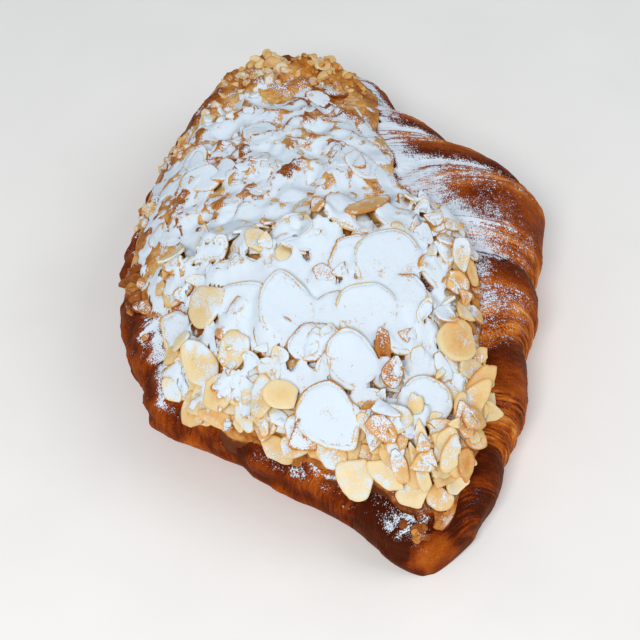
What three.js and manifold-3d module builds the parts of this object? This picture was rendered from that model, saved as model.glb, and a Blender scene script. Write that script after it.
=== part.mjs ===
// Almond croissant: a rolled, laminated pastry under a layer of baked almond cream, with flaked almonds
// pressed into the cream over the near half. The roll lies along Y with its near tip at -Y and rests on
// its flat base at Z = 0. Lengths are millimetres and angles are degrees.
import * as THREE from "three";
import { mergeVertices } from "three/addons/utils/BufferGeometryUtils.js";
import Module from "manifold-3d";

const wasm = await Module();
wasm.setup();

// Materials
const CRUST = { color: 0x9a4a12, roughness: 0.5, metalness: 0 };
const ALMOND = { color: 0xe9dcc3, roughness: 0.8, metalness: 0 };

// The roll, from its near tip to its far one. share is the place along Y in half lengths, right and left
// are the half widths to each side of the axis, and crown is the height of the top.
const HALF_LENGTH = 86;
const STATIONS = [
  { share: -1.0, right: 8, left: 6, crown: 15 },
  { share: -0.85, right: 20, left: 14, crown: 21.5 },
  { share: -0.65, right: 32, left: 31.5, crown: 30 },
  { share: -0.5, right: 38, left: 45, crown: 35 },
  { share: -0.38, right: 43, left: 56, crown: 38 },
  { share: -0.12, right: 52.5, left: 58, crown: 43 },
  { share: 0.1, right: 59, left: 56, crown: 43 },
  { share: 0.32, right: 48, left: 49.5, crown: 40 },
  { share: 0.6, right: 35, left: 37, crown: 35 },
  { share: 0.82, right: 29, left: 26, crown: 32.5 },
  { share: 1.0, right: 18, left: 13, crown: 30 },
];
const BELLY_SHARE = 0.36; // height of the widest line of a section, as a share of its crown
const BASE_SINK = 1.25; // how far a section would reach below its belly, as a share of the belly's height
const SIDE_POWER = 0.85; // below 1 squares a section's sides
const TOP_POWER = 0.9; // below 1 flattens a section's top
const BASE_POWER = 0.8;
const TIP_ROUND_FROM = { near: 0.94, far: 0.72 }; // shares of the half length where the tips get round
const TIP_LEAST_HEIGHT = 0.4;
const RINGS = 90;
const BASE_HALF_ANGLE = 45; // the flat base spans this angle to each side of straight down
const UPPER_POINTS = 24;
const BASE_POINTS = 3;

// Wraps: the rolled sheet steps down from the outermost wrap to both tips. Each wrap has a smooth skin and
// then a striped edge where its cut layers show.
const WRAP_MIDDLE = -9.8; // Y of the middle of the outermost wrap
const FIRST_EDGE = 15.7; // from that middle to the crease below its edge
const WRAP_PITCH = 22;
const WRAP_LEAN = 0.15; // how far a crease leans towards the far tip on the right side
// Waviness of a crease: height in pitches, turns in degrees per millimetre
const WRAP_WAVE = { height: 0.09, turnX: 7, turnY: 5 };
const WRAP_STEP = 1.3; // half the height of the step between two wraps
const SKIN_SHARE = 0.46; // share of a wrap that is smooth skin
const MIDDLE_STRIPES = 10; // width of the striped edge of the outermost wrap
const MIDDLE_SKIN = 0.3; // place within a wrap of the skin between that wrap's two striped edges
const STEP_POWER = 1.3; // above 1 keeps the striped edge high before it falls to the crease
const LAYER_RIDGES = 3;
const LAYER_DEPTH = 0.35;
const RELIEF_FADE = [1, 9]; // heights between which the relief grows to its full depth

// Almond cream: the x of its left and right edges along Y
const CREAM_STATIONS = [
  { y: -84, left: -3, right: 7 },
  { y: -77, left: -7, right: 10 },
  { y: -70, left: -13.5, right: 15.5 },
  { y: -62, left: -23, right: 19.5 },
  { y: -50, left: -36.5, right: 22 },
  { y: -36, left: -48, right: 25 },
  { y: -26, left: -47, right: 26 },
  { y: -10, left: -55.5, right: 23 },
  { y: 2, left: -54.5, right: 17 },
  { y: 23, left: -48.5, right: 17.5 },
  { y: 40, left: -43, right: 21 },
  { y: 53, left: -35, right: 24 },
  { y: 64, left: -26, right: 20 },
  { y: 73, left: -17, right: 13 },
  { y: 78, left: -9, right: 6 },
];
const CREAM_ROWS = 38;
const CREAM_COLUMNS = 14;
const CREAM_RIM = 1.3; // height of the cream above the crust at its edge
const CREAM_BODY = 3.6; // further height inside the edge
const CREAM_ROOT = 5; // how deep the cream reaches below the crust before the crust is cut from it
const RIM_POWER = 4; // higher keeps the cream's full height closer to its edge
const END_FADE = 9; // length over which the cream grows to its full height from its ends
// Lumps of the cream's surface: height, distance from one to the next, and the direction of their rows
const LUMPS = [
  { height: 1.0, spacing: 19, turn: 25 },
  { height: 0.8, spacing: 12, turn: 70 },
];

// Heap of flaked almonds
const HEAP_SPAN = [-79, -8]; // Y of the heap's near and far edges
const HEAP_LEFT = -48; // X of its left edge
const HEAP_SLOPE = 10; // length over which the heap rises from its edges
const HEAP_HEIGHT = 4.5;
const FLAKE_SEED = 20;
const FLAKE_COUNT = 40;
const FLAKE_TRIES = 12; // places tried for each flake: the one farthest from the others is kept
const FLAKE_LENGTH = [11.5, 17];
const TIP_FLAKE_LENGTH = [7, 10.5]; // of the ones nearer the tip than TIP_FLAKE_Y
const TIP_FLAKE_Y = -64;
const FLAKE_SLIMNESS = [0.62, 0.86];
const FLAKE_POINT = [0.02, 0.32]; // how much narrower one end is than the other
const FLAKE_BREAK = [0.35, 1.6]; // place of a break across the flake in half lengths; over 1 leaves it whole
// Flakes that stand out, lying whole on top of the others
const STANDOUT_FLAKES = [
  { x: -39.5, y: -26.5, length: 12, width: 10.5, yaw: 10, point: 0.1 },
  { x: -22.3, y: -36, length: 17, width: 13, yaw: 95, point: 0.15 },
  { x: 4, y: -29, length: 17.5, width: 14, yaw: 30, point: 0.1 },
  { x: -4, y: -41.2, length: 15, width: 13, yaw: 10, point: 0.1 },
  { x: -10.5, y: -51.7, length: 13.5, width: 12, yaw: 100, point: 0.1 },
  { x: 15.8, y: -50, length: 12.5, width: 10.5, yaw: 0, point: 0.02 },
  { x: -43.5, y: -37, length: 12, width: 8.5, yaw: 100, point: 0.2 },
  { x: -35.5, y: -40, length: 10, width: 8, yaw: 25, point: 0.2 },
  { x: 19, y: -58.5, length: 12, width: 5.5, yaw: 20, point: 0.3 },
  { x: 15.5, y: -63.5, length: 12, width: 6.5, yaw: 35, point: 0.25 },
  { x: 3.8, y: -63.4, length: 13, width: 12, yaw: 0, point: 0.05 },
  { x: -14.8, y: -72.5, length: 11, width: 8.5, yaw: 265, point: 0.2 },
  { x: 4.8, y: -74, length: 9, width: 5, yaw: 70, point: 0.25 },
  { x: -3, y: -75, length: 10, width: 5.5, yaw: 280, point: 0.2 },
  { x: -8.2, y: -75, length: 10, width: 5, yaw: 300, point: 0.25 },
  { x: -40.5, y: -46, length: 10, width: 7.5, yaw: 30, point: 0.15 },
  { x: -37, y: -47, length: 11, width: 8, yaw: 140, point: 0.2 },
  { x: -31.5, y: -53, length: 9.5, width: 7, yaw: 60, point: 0.2 },
  { x: -23.5, y: -62, length: 10, width: 8, yaw: 20, point: 0.15 },
  { x: -19, y: -66.5, length: 9.5, width: 7.5, yaw: 80, point: 0.2 },
  { x: 4, y: -13, length: 16.5, width: 6, yaw: 40, point: 0.2 },
  { x: -2.5, y: -50.2, length: 8.5, width: 4, yaw: 75, point: 0.2 },
  { x: -2.2, y: -57, length: 7.5, width: 5, yaw: 60, point: 0.2 },
  { x: -27.5, y: -54.5, length: 9, width: 6.5, yaw: -20, point: 0.1 },
  { x: -18.2, y: -62, length: 17.5, width: 13.5, yaw: -72, point: 0.28 },
];
const WHOLE = 2;
const FLAKE_THICKNESS = 1.1;
const FLAKE_SIDES = 9;
const FLAKE_SINK = 0.3; // how deep a flake is pressed into what it lies on
const FLAKE_REST = 0.6; // share of the unevenness below a flake that lifts it
const STEEPEST = 1; // largest slope of a flake
const RANDOM_FACTOR = 1664525; // of the linear congruential generator that draws the flakes
const RANDOM_STEP = 1013904223;
const CELL = 1; // size of a cell in the grid of heights that the flakes are laid on
const GRID_HALF = [62, 90];
const GAP = 0.3; // clearance between the crust and the cream

const radians = THREE.MathUtils.degToRad;
const smooth = THREE.MathUtils.smoothstep;

// A curve through the values at their places that doesn't overshoot them.
function monotoneCurve(places, values) {
  const last = places.length - 1;
  const rises = places.slice(1).map((place, i) => (values[i + 1] - values[i]) / (place - places[i]));
  const tangents = values.map((_, i) => {
    const before = rises[Math.max(i - 1, 0)];
    const after = rises[Math.min(i, last - 1)];
    return before * after <= 0 ? 0 : (2 * before * after) / (before + after);
  });
  return (place) => {
    let i = 0;
    while (i < last - 1 && place > places[i + 1]) i += 1;
    const span = places[i + 1] - places[i];
    const t = (place - places[i]) / span;
    const ease = t * t * (3 - 2 * t);
    const bend = tangents[i] * t * (1 - t) ** 2 - tangents[i + 1] * t * t * (1 - t);
    return values[i] * (1 - ease) + values[i + 1] * ease + bend * span;
  };
}

// Curves of the named values along the stations.
function stationCurves(stations, place, names) {
  const places = stations.map((station) => station[place]);
  const curve = (name) => monotoneCurve(places, stations.map((station) => station[name]));
  return Object.fromEntries(names.map((name) => [name, curve(name)]));
}

const roll = stationCurves(STATIONS, "share", ["right", "left", "crown"]);
const cream = stationCurves(CREAM_STATIONS, "y", ["left", "right"]);
const CREAM_NEAR = CREAM_STATIONS[0].y;
const CREAM_FAR = CREAM_STATIONS.at(-1).y;

// Half widths and crown height of the roll's section at y, with the tips rounded off.
function sectionAt(y) {
  const share = y / HALF_LENGTH;
  const from = share < 0 ? TIP_ROUND_FROM.near : TIP_ROUND_FROM.far;
  const past = Math.max(0, (Math.abs(share) - from) / (1 - from));
  const round = Math.sqrt(Math.max(0, 1 - past ** 2));
  return {
    right: roll.right(share) * round,
    left: roll.left(share) * round,
    crown: roll.crown(share) * (TIP_LEAST_HEIGHT + (1 - TIP_LEAST_HEIGHT) * round),
  };
}

// Place within a wrap at a point of the crust: 0 at a crease, growing over the skin to 1 at the next crease.
function wrapPlace(x, y) {
  const wave = WRAP_WAVE.height * Math.sin(radians(WRAP_WAVE.turnX * x + WRAP_WAVE.turnY * y));
  const away = Math.abs(y - WRAP_MIDDLE - WRAP_LEAN * Math.max(0, x)) - FIRST_EDGE + wave * WRAP_PITCH;
  if (away < 0) return Math.max(MIDDLE_SKIN, 1 + (away / MIDDLE_STRIPES) * (1 - SKIN_SHARE));
  return (away / WRAP_PITCH) % 1;
}

// Height of the wrapped sheet above or below the mean surface.
function wrapRelief(x, y) {
  const place = wrapPlace(x, y);
  if (place < SKIN_SHARE) {
    const rise = Math.sqrt(Math.sin(radians((90 * place) / SKIN_SHARE)));
    return WRAP_STEP * (2 * rise - 1);
  }
  const down = (place - SKIN_SHARE) / (1 - SKIN_SHARE);
  const layers = LAYER_DEPTH * Math.sin(radians(360 * LAYER_RIDGES * down));
  return WRAP_STEP * (1 - 2 * down ** STEP_POWER) + layers;
}

// A point of the roll's surface. Angle 0 is the right side, 90 the crown and 270 the base.
function rollPoint(y, angle, grow) {
  const { right, left, crown } = sectionAt(y);
  const across = Math.cos(radians(angle));
  const up = Math.sin(radians(angle));
  const belly = BELLY_SHARE * crown;
  const x = (across > 0 ? right : left) * Math.sign(across) * Math.abs(across) ** SIDE_POWER;
  const rise = up > 0 ? (crown - belly) * up ** TOP_POWER : -BASE_SINK * belly * Math.abs(up) ** BASE_POWER;
  const out = new THREE.Vector2(x, rise).normalize();
  const lift = grow + wrapRelief(x, y) * smooth(belly + rise, ...RELIEF_FADE);
  return new THREE.Vector3(x + out.x * lift, y, Math.max(-grow, belly + rise + out.y * lift));
}

// A closed tube through rings of points, with a point at each end.
function closedTube(rings, start, end) {
  const sides = rings[0].length;
  const points = [...rings.flat(), start, end];
  const startIndex = rings.length * sides;
  const index = [];
  for (let side = 0; side < sides; side += 1) {
    const next = (side + 1) % sides;
    index.push(startIndex, side, next);
    for (let ring = 0; ring < rings.length - 1; ring += 1) {
      const a = ring * sides + side;
      const b = ring * sides + next;
      index.push(a, a + sides, b, b, a + sides, b + sides);
    }
    const lastRing = (rings.length - 1) * sides;
    index.push(startIndex + 1, lastRing + next, lastRing + side);
  }
  return new THREE.BufferGeometry().setFromPoints(points).setIndex(index);
}

// The roll, grown outwards by a distance.
function rollGeometry(grow) {
  const half = HALF_LENGTH + grow;
  const angles = [];
  for (let i = 0; i < UPPER_POINTS; i += 1) {
    angles.push(BASE_HALF_ANGLE - 90 + ((360 - 2 * BASE_HALF_ANGLE) * i) / (UPPER_POINTS - 1));
  }
  for (let i = 1; i <= BASE_POINTS; i += 1) {
    angles.push(270 - BASE_HALF_ANGLE + (2 * BASE_HALF_ANGLE * i) / (BASE_POINTS + 1));
  }
  const rings = [];
  for (let ring = 1; ring < RINGS; ring += 1) {
    const y = -HALF_LENGTH + (2 * HALF_LENGTH * ring) / RINGS;
    rings.push(angles.map((angle) => rollPoint(y, angle, grow)));
  }
  const tipHeight = (y) => sectionAt(y).crown * BELLY_SHARE;
  return closedTube(
    rings,
    new THREE.Vector3(0, -half, tipHeight(-HALF_LENGTH)),
    new THREE.Vector3(0, half, tipHeight(HALF_LENGTH)),
  );
}

// Height of the roll's crown at a place seen from above, without the wraps' relief.
function crownAt(x, y) {
  const { right, left, crown } = sectionAt(THREE.MathUtils.clamp(y, -HALF_LENGTH, HALF_LENGTH));
  const across = Math.min(1, Math.abs(x) / (x > 0 ? right : left)) ** (1 / SIDE_POWER);
  const belly = BELLY_SHARE * crown;
  return belly + (crown - belly) * Math.sqrt(1 - across ** 2) ** TOP_POWER;
}

// Height of one size of lumps, in rows and columns across a direction.
function lumpAt({ height, spacing, turn }, x, y) {
  const along = x * Math.cos(radians(turn)) + y * Math.sin(radians(turn));
  const across = y * Math.cos(radians(turn)) - x * Math.sin(radians(turn));
  return height * Math.sin((2 * Math.PI * along) / spacing) * Math.sin((2 * Math.PI * across) / spacing);
}

// Height of the cream's surface at a place seen from above.
function creamTop(x, y) {
  const left = cream.left(y);
  const right = cream.right(y);
  const share = Math.min(1, Math.abs((2 * (x - left)) / (right - left) - 1));
  const ends = smooth(y, CREAM_NEAR, CREAM_NEAR + END_FADE) * smooth(-y, -CREAM_FAR, END_FADE - CREAM_FAR);
  const heapNear = smooth(y, HEAP_SPAN[0], HEAP_SPAN[0] + HEAP_SLOPE);
  const heapFar = smooth(-y, -HEAP_SPAN[1], HEAP_SLOPE - HEAP_SPAN[1]);
  const heap = HEAP_HEIGHT * heapNear * heapFar * smooth(x, HEAP_LEFT, HEAP_LEFT + HEAP_SLOPE);
  const lumps = LUMPS.reduce((sum, lump) => sum + lumpAt(lump, x, y), 0);
  const full = CREAM_BODY + lumps + heap;
  return crownAt(x, y) + CREAM_RIM + full * ends * (1 - share ** RIM_POWER);
}

// The cream before the crust is cut from it, thick enough to reach into the roll.
function creamGeometry() {
  const root = (x, y) => crownAt(x, y) - CREAM_ROOT;
  const rings = [];
  for (let row = 1; row < CREAM_ROWS; row += 1) {
    const y = CREAM_NEAR + ((CREAM_FAR - CREAM_NEAR) * row) / CREAM_ROWS;
    const top = [];
    const bottom = [];
    for (let column = 0; column <= CREAM_COLUMNS; column += 1) {
      const x = THREE.MathUtils.lerp(cream.right(y), cream.left(y), column / CREAM_COLUMNS);
      top.push(new THREE.Vector3(x, y, creamTop(x, y)));
      bottom.unshift(new THREE.Vector3(x, y, root(x, y)));
    }
    rings.push([...top, ...bottom]);
  }
  const endPoint = (y) => {
    const x = (cream.left(y) + cream.right(y)) / 2;
    return new THREE.Vector3(x, y, crownAt(x, y));
  };
  return closedTube(rings, endPoint(CREAM_NEAR), endPoint(CREAM_FAR));
}

// A repeatable stream of numbers from 0 to 1.
function randomStream(seed) {
  let state = seed;
  return () => {
    state = (Math.imul(state, RANDOM_FACTOR) + RANDOM_STEP) >>> 0;
    return state / 2 ** 32;
  };
}

// Sizes and places of the flakes, in the order in which they are laid.
function drawFlakes() {
  const random = randomStream(FLAKE_SEED);
  const between = ([low, high]) => low + (high - low) * random();
  const flakes = [];
  for (let i = 0; i < FLAKE_COUNT; i += 1) {
    let best = null;
    for (let attempt = 0; attempt < FLAKE_TRIES; attempt += 1) {
      const y = between(HEAP_SPAN);
      const x = between([Math.max(cream.left(y), HEAP_LEFT), cream.right(y)]);
      const room = Math.min(...flakes.map((flake) => Math.hypot(flake.x - x, flake.y - y)), HALF_LENGTH);
      if (!best || room > best.room) best = { x, y, room };
    }
    const length = between(best.y < TIP_FLAKE_Y ? TIP_FLAKE_LENGTH : FLAKE_LENGTH);
    flakes.push({
      x: best.x,
      y: best.y,
      length,
      width: length * between(FLAKE_SLIMNESS),
      point: between(FLAKE_POINT),
      broken: between(FLAKE_BREAK),
      yaw: 360 * random(),
    });
  }
  return [...flakes, ...STANDOUT_FLAKES.map((flake) => ({ ...flake, broken: WHOLE }))];
}

// Outline of a flake in its own plane: an oval with one end narrower, cut straight where it is broken.
function flakeOutline({ length, width, point, broken }) {
  const outline = [];
  for (let side = 0; side < FLAKE_SIDES; side += 1) {
    const angle = (2 * Math.PI * (side + 0.5)) / FLAKE_SIDES;
    const along = Math.max(-broken, Math.cos(angle));
    const across = Math.sin(angle) * (1 - point * Math.cos(angle));
    outline.push(new THREE.Vector2((along * length) / 2, (across * width) / 2));
  }
  return outline;
}

// Heights of the cream on a grid, and the cells that lie under an outline.
function heightGrid(heightAt) {
  const wide = Math.round((2 * GRID_HALF[0]) / CELL) + 1;
  const deep = Math.round((2 * GRID_HALF[1]) / CELL) + 1;
  const heights = new Float64Array(wide * deep);
  const centre = (column, row) => [column * CELL - GRID_HALF[0], row * CELL - GRID_HALF[1]];
  for (let row = 0; row < deep; row += 1) {
    for (let column = 0; column < wide; column += 1) {
      heights[row * wide + column] = heightAt(...centre(column, row));
    }
  }
  // Cells whose centres, in the flake's own axes, lie inside its oval.
  const cellsUnder = (flake) => {
    const cells = [];
    const turn = radians(flake.yaw);
    const reach = Math.ceil(flake.length / 2 / CELL);
    const column0 = Math.round((flake.x + GRID_HALF[0]) / CELL);
    const row0 = Math.round((flake.y + GRID_HALF[1]) / CELL);
    for (let row = row0 - reach; row <= row0 + reach; row += 1) {
      for (let column = column0 - reach; column <= column0 + reach; column += 1) {
        const [x, y] = centre(column, row);
        const dx = x - flake.x;
        const dy = y - flake.y;
        const along = (dx * Math.cos(turn) + dy * Math.sin(turn)) / (flake.length / 2);
        const across = (dy * Math.cos(turn) - dx * Math.sin(turn)) / (flake.width / 2);
        if (Math.hypot(along, across) < 1 && along > -flake.broken) {
          cells.push({ index: row * wide + column, dx, dy });
        }
      }
    }
    return cells;
  };
  return { heights, cellsUnder };
}

// Lays a flake on the grid: a plane fitted to the heights below it, lifted by part of their unevenness.
function layFlake(flake, grid) {
  const cells = grid.cellsUnder(flake);
  const sums = { xx: 0, xy: 0, yy: 0, x: 0, y: 0, z: 0, xz: 0, yz: 0 };
  for (const { index, dx, dy } of cells) {
    const z = grid.heights[index];
    sums.xx += dx * dx;
    sums.xy += dx * dy;
    sums.yy += dy * dy;
    sums.x += dx;
    sums.y += dy;
    sums.z += z;
    sums.xz += dx * z;
    sums.yz += dy * z;
  }
  const fit = new THREE.Matrix3();
  fit.set(sums.xx, sums.xy, sums.x, sums.xy, sums.yy, sums.y, sums.x, sums.y, cells.length).invert();
  const plane = new THREE.Vector3(sums.xz, sums.yz, sums.z).applyMatrix3(fit);
  const slope = Math.hypot(plane.x, plane.y);
  const ease = Math.min(1, STEEPEST / slope);
  const tiltX = plane.x * ease;
  const tiltY = plane.y * ease;
  const unevenness = Math.max(
    ...cells.map(({ index, dx, dy }) => grid.heights[index] - (plane.z + tiltX * dx + tiltY * dy)),
  );
  const z = plane.z + FLAKE_REST * unevenness - FLAKE_SINK;
  for (const { index, dx, dy } of cells) {
    const top = z + tiltX * dx + tiltY * dy + FLAKE_THICKNESS;
    grid.heights[index] = Math.max(grid.heights[index], top);
  }
  return { ...flake, z, tiltX, tiltY };
}

// A flake as a thin slab, lying where it was laid.
function flakeGeometry(flake) {
  const slab = new THREE.ExtrudeGeometry(new THREE.Shape(flakeOutline(flake)), {
    depth: FLAKE_THICKNESS,
    bevelEnabled: false,
  });
  const up = new THREE.Vector3(-flake.tiltX, -flake.tiltY, 1).normalize();
  const heading = new THREE.Vector3(Math.cos(radians(flake.yaw)), Math.sin(radians(flake.yaw)), 0);
  const along = heading.addScaledVector(up, -heading.dot(up)).normalize();
  const across = new THREE.Vector3().crossVectors(up, along);
  const turn = new THREE.Matrix4().makeBasis(along, across, up).setPosition(flake.x, flake.y, flake.z);
  return slab.applyMatrix4(turn);
}

// A closed geometry as a solid for joining and cutting.
function solidOf(geometry) {
  geometry.deleteAttribute("normal");
  geometry.deleteAttribute("uv");
  const merged = mergeVertices(geometry, 1e-4);
  return new wasm.Manifold(
    new wasm.Mesh({
      numProp: 3,
      vertProperties: new Float32Array(merged.attributes.position.array),
      triVerts: new Uint32Array(merged.index.array),
    }),
  );
}

// A solid as a named mesh.
function meshOf(solid, name, material) {
  const made = solid.getMesh();
  const geometry = new THREE.BufferGeometry()
    .setAttribute("position", new THREE.BufferAttribute(new Float32Array(made.vertProperties), 3))
    .setIndex(new THREE.BufferAttribute(new Uint32Array(made.triVerts), 1));
  geometry.computeVertexNormals();
  const mesh = new THREE.Mesh(geometry, new THREE.MeshStandardMaterial(material));
  mesh.name = name;
  return mesh;
}

// The cream with every flake joined to it, cut clear of the crust. Crumbs that the crust's ridges cut off
// the cream's thin edge are dropped.
function toppingSolid() {
  const grid = heightGrid(creamTop);
  let topping = solidOf(creamGeometry());
  for (const flake of drawFlakes()) topping = topping.add(solidOf(flakeGeometry(layFlake(flake, grid))));
  const pieces = topping.subtract(solidOf(rollGeometry(GAP))).decompose();
  return pieces.reduce((a, b) => (a.volume() > b.volume() ? a : b));
}

const croissant = new THREE.Group();
croissant.add(meshOf(solidOf(rollGeometry(0)), "croissant", CRUST));
croissant.add(meshOf(toppingSolid(), "almond_topping", ALMOND));

export default croissant;
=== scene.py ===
"""Looks of an almond croissant: glossy laminated crust, baked almond cream, flaked and chopped almonds and
powdered sugar. Lengths are millimetres until a mesh is made, angles are degrees, and each part of a noise has
a height, a size and a seed."""
from math import cos, hypot, pi, radians, sin, sqrt

import bmesh
import bpy
import numpy as np
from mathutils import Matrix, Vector, noise
from mathutils.bvhtree import BVHTree


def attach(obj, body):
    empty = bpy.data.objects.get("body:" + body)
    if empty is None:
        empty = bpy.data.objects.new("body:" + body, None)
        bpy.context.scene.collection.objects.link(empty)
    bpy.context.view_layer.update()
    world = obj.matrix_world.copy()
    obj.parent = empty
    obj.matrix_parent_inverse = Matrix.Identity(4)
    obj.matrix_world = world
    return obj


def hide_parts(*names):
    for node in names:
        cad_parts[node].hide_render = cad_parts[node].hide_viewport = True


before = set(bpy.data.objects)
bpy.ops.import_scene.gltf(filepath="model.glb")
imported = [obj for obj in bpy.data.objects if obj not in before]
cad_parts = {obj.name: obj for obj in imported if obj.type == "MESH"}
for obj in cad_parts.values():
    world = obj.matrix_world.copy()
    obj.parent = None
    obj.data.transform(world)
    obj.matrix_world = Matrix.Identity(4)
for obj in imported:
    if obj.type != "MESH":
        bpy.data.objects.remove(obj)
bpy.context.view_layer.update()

MM = 0.001
NOISE_SHIFT = 17.3  # shift of the noise from one seed to the next

# The roll, as in the solid: share of the half length, half widths to the right and left, height of the crown
HALF_LENGTH = 86
STATIONS = [
    (-1.0, 8, 6, 15),
    (-0.85, 20, 14, 21.5),
    (-0.65, 32, 31.5, 30),
    (-0.5, 38, 45, 35),
    (-0.38, 43, 56, 38),
    (-0.12, 52.5, 58, 43),
    (0.1, 59, 56, 43),
    (0.32, 48, 49.5, 40),
    (0.6, 35, 37, 35),
    (0.82, 29, 26, 32.5),
    (1.0, 18, 13, 30),
]
BELLY_SHARE = 0.36  # height of the widest line of a section, as a share of its crown
BASE_SINK = 1.25  # how far a section would reach below its belly, as a share of the belly's height
SIDE_POWER = 0.85
TOP_POWER = 0.9
BASE_POWER = 0.8
TIP_ROUND_FROM = (0.94, 0.72)
TIP_LEAST_HEIGHT = 0.4
BASE_HALF_ANGLE = 45

# Wraps of the rolled sheet, as in the solid
WRAP_MIDDLE = -9.8
FIRST_EDGE = 15.7
WRAP_PITCH = 22
WRAP_LEAN = 0.15
WAVE_HEIGHT, WAVE_TURN_X, WAVE_TURN_Y = 0.09, 7, 5
WRAP_STEP = 1.3
SKIN_SHARE = 0.46
MIDDLE_STRIPES = 10
MIDDLE_SKIN = 0.3
STEP_POWER = 1.3
LAYER_RIDGES, RIDGE_DEPTH = 3, 0.35
RELIEF_FADE = (1, 9)

# Fine relief of the crust
CRUST_RINGS = 780
CRUST_UPPER = 112
CRUST_BASE = 12
LAYERS_PER_WRAP = 15  # cut layers that show in a striped edge
LAYER_DEPTH = 0.24
LAYER_STRETCH = (0.5, 1, 0.5)  # noise is drawn out along the layers
GROOVE_FALL, GROOVE_RISE = (0.55, 0.82), (0.88, 1.0)  # parts of a layer over which its groove falls and rises
GROOVE_LEAST, GROOVE_FAINT = 0.25, (-0.3, 0.25)  # strength of a faint groove, and noise that makes it clear
GROOVE_BREAKS = [(1, 4, 5)]
TONE_TURN, TONE_STEP = 7.1, 0.3  # change of a layer's tone to the next, and its share in the relief
RIDGE_TOAST_AND_SHADE = 0.12  # toast and painted shade between two ridges, as a share of that in a groove
SKIN_LINES = 0.3  # strength of the layers' fine streaks on the skin
TIP_PLAIN = (3, 10)  # length over which the layers fade out at the near and the far tip
TIP_CRAGS = [(1.9, 5, 14)]
TIP_CRAG_REACH = (15, 10)  # length over which the lumps fade in at the near and the far tip
LEFT_SIDE = (4, 25)  # distances to the left over which the left side starts
LEFT_PLAIN = 0.55  # share of the layers' relief that is missing on the left side
LEFT_CRAGS, LEFT_TOAST = [(1.2, 4.5, 18)], 0.97
LAYER_WANDERS = [(1.1, 26, 2), (0.4, 7, 3), (0.12, 2.4, 13)]  # of a layer's line, in layers
BLISTERS, BLISTER_HEIGHT, BLISTER_PART = [(1, 6, 1)], 0.45, (0.05, 0.6)
WRINKLES, WRINKLE_STRETCH = [(0.2, 1.3, 4)], (1, 2.2, 1)

# How darkly the crust is baked, from 0 to 1, with painted shade in its grooves and hollows and painted light
# low down its sides
TOAST_PATCHES = [(0.1, 15, 6), (0.06, 7, 19)]
EDGE_WAVES = [(0.09, 9, 16), (0.05, 3, 17)]  # of the line between skin and stripes
TOAST_STREAKS = [(0.1, 0.35, 2.2, 8), (0.1, 0.2, 0.7, 10)]  # change, stretch, size and seed
SKIN_FADE, SKIN_FADE_OVER = 0.24, (0.02, 0.4)  # what the skin loses away from its crease
SKIN_TO_STRIPES = (-0.12, 0.08)  # places around the skin's edge
# the grooves are darkened by toast and painted shade
STRIPE_TOAST, GROOVE_TOAST_AND_SHADE, TONE_TOAST, STRIPE_STREAKS = 0.33, 0.42, 0.12, 0.8
FOOT_TOAST, FOOT_FROM = 0.4, (0.78, 1)  # at the foot of the stripes
FAR_END = (75, 81)  # y from which there are no stripes
TIP_TOAST, TIP_TOAST_PATCHES, TIP_TOAST_FROM = 0.52, [(0.2, 5, 15)], (62, 82)
SIDE_BAKE_AND_PAINTED_LIGHT, SIDE_TOAST_BELOW, SIDE_TOAST_FROM = -0.2, (5, 19), (-66, -50)  # lighter low down the sides: partly a golden bake, partly painted light against the shade there
CRAG_SHADE, KNOB_SHADE = -0.2, -0.06  # painted shade: lower spots of the crags and knobs darker, higher ones lighter, for each millimetre of height
LEFT_BAKED = 0.65  # share of the left side's own toast
BASE_TOAST, BASE_TIP_TOAST, BASE_TIP_FROM, BASE_FADE = 0.72, 0.25, (62, 80), (0.3, 7)
END_TOAST = 0.7  # at the last point of each tip

# Almond cream, as in the solid: y, left edge and right edge
CREAM_STATIONS = [
    (-84, -3, 7),
    (-77, -7, 10),
    (-70, -13.5, 15.5),
    (-62, -23, 19.5),
    (-50, -36.5, 22),
    (-36, -48, 25),
    (-26, -47, 26),
    (-10, -55.5, 23),
    (2, -54.5, 17),
    (23, -48.5, 17.5),
    (40, -43, 21),
    (53, -35, 24),
    (64, -26, 20),
    (73, -17, 13),
    (78, -9, 6),
]
CREAM_NEAR, CREAM_FAR = CREAM_STATIONS[0][0], CREAM_STATIONS[-1][0]
CREAM_RIM = 1.3
CREAM_BODY = 3.6
CREAM_ROOT = 5
RIM_POWER = 4
END_FADE = 9
LUMPS = [(1.0, 19, 25), (0.8, 12, 70)]  # height, spacing and direction of the rows
HEAP_SPAN = (-79, -8)
HEAP_LEFT = -48
HEAP_SLOPE = 10
HEAP_HEIGHT = 4.5

# Fine relief of the cream
CREAM_ROWS = 410
CREAM_COLUMNS = 190
CREAM_WALL = 6  # points down each side wall
CRAGS = [(1.9, 12, 3), (1.2, 5.5, 5), (0.5, 2.2, 7)]
CRAG_TOP = 0.4  # highest part of a crag, as a share of its height
CRAG_INSIDE = (0.004, 0.996, 0.35)  # shares across the cream where crags start, and power of their growth
CRAG_FADE = 3  # length over which the crags grow from the ends
RAGGED_EDGES = [(1.8, 6, 11)], [(1.8, 6, 12)]  # left and right
END_ROUND = 8  # length over which the ends are rounded off
CREAM_TOAST, CRAG_BAKED = 0.55, 0.14
CREAM_PATCHES = [(0.45, 9, 9)]
WALL_TOAST, LOW_WALL_TOAST, LOW_WALL = 0.7, 0.4, (-24, -14)
CREAM_END_TOAST, CREAM_MIDDLE, CREAM_END_FROM = 0.2, -3, (50, 75)
CREAM_TIP_TOAST = 0.8

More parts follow.
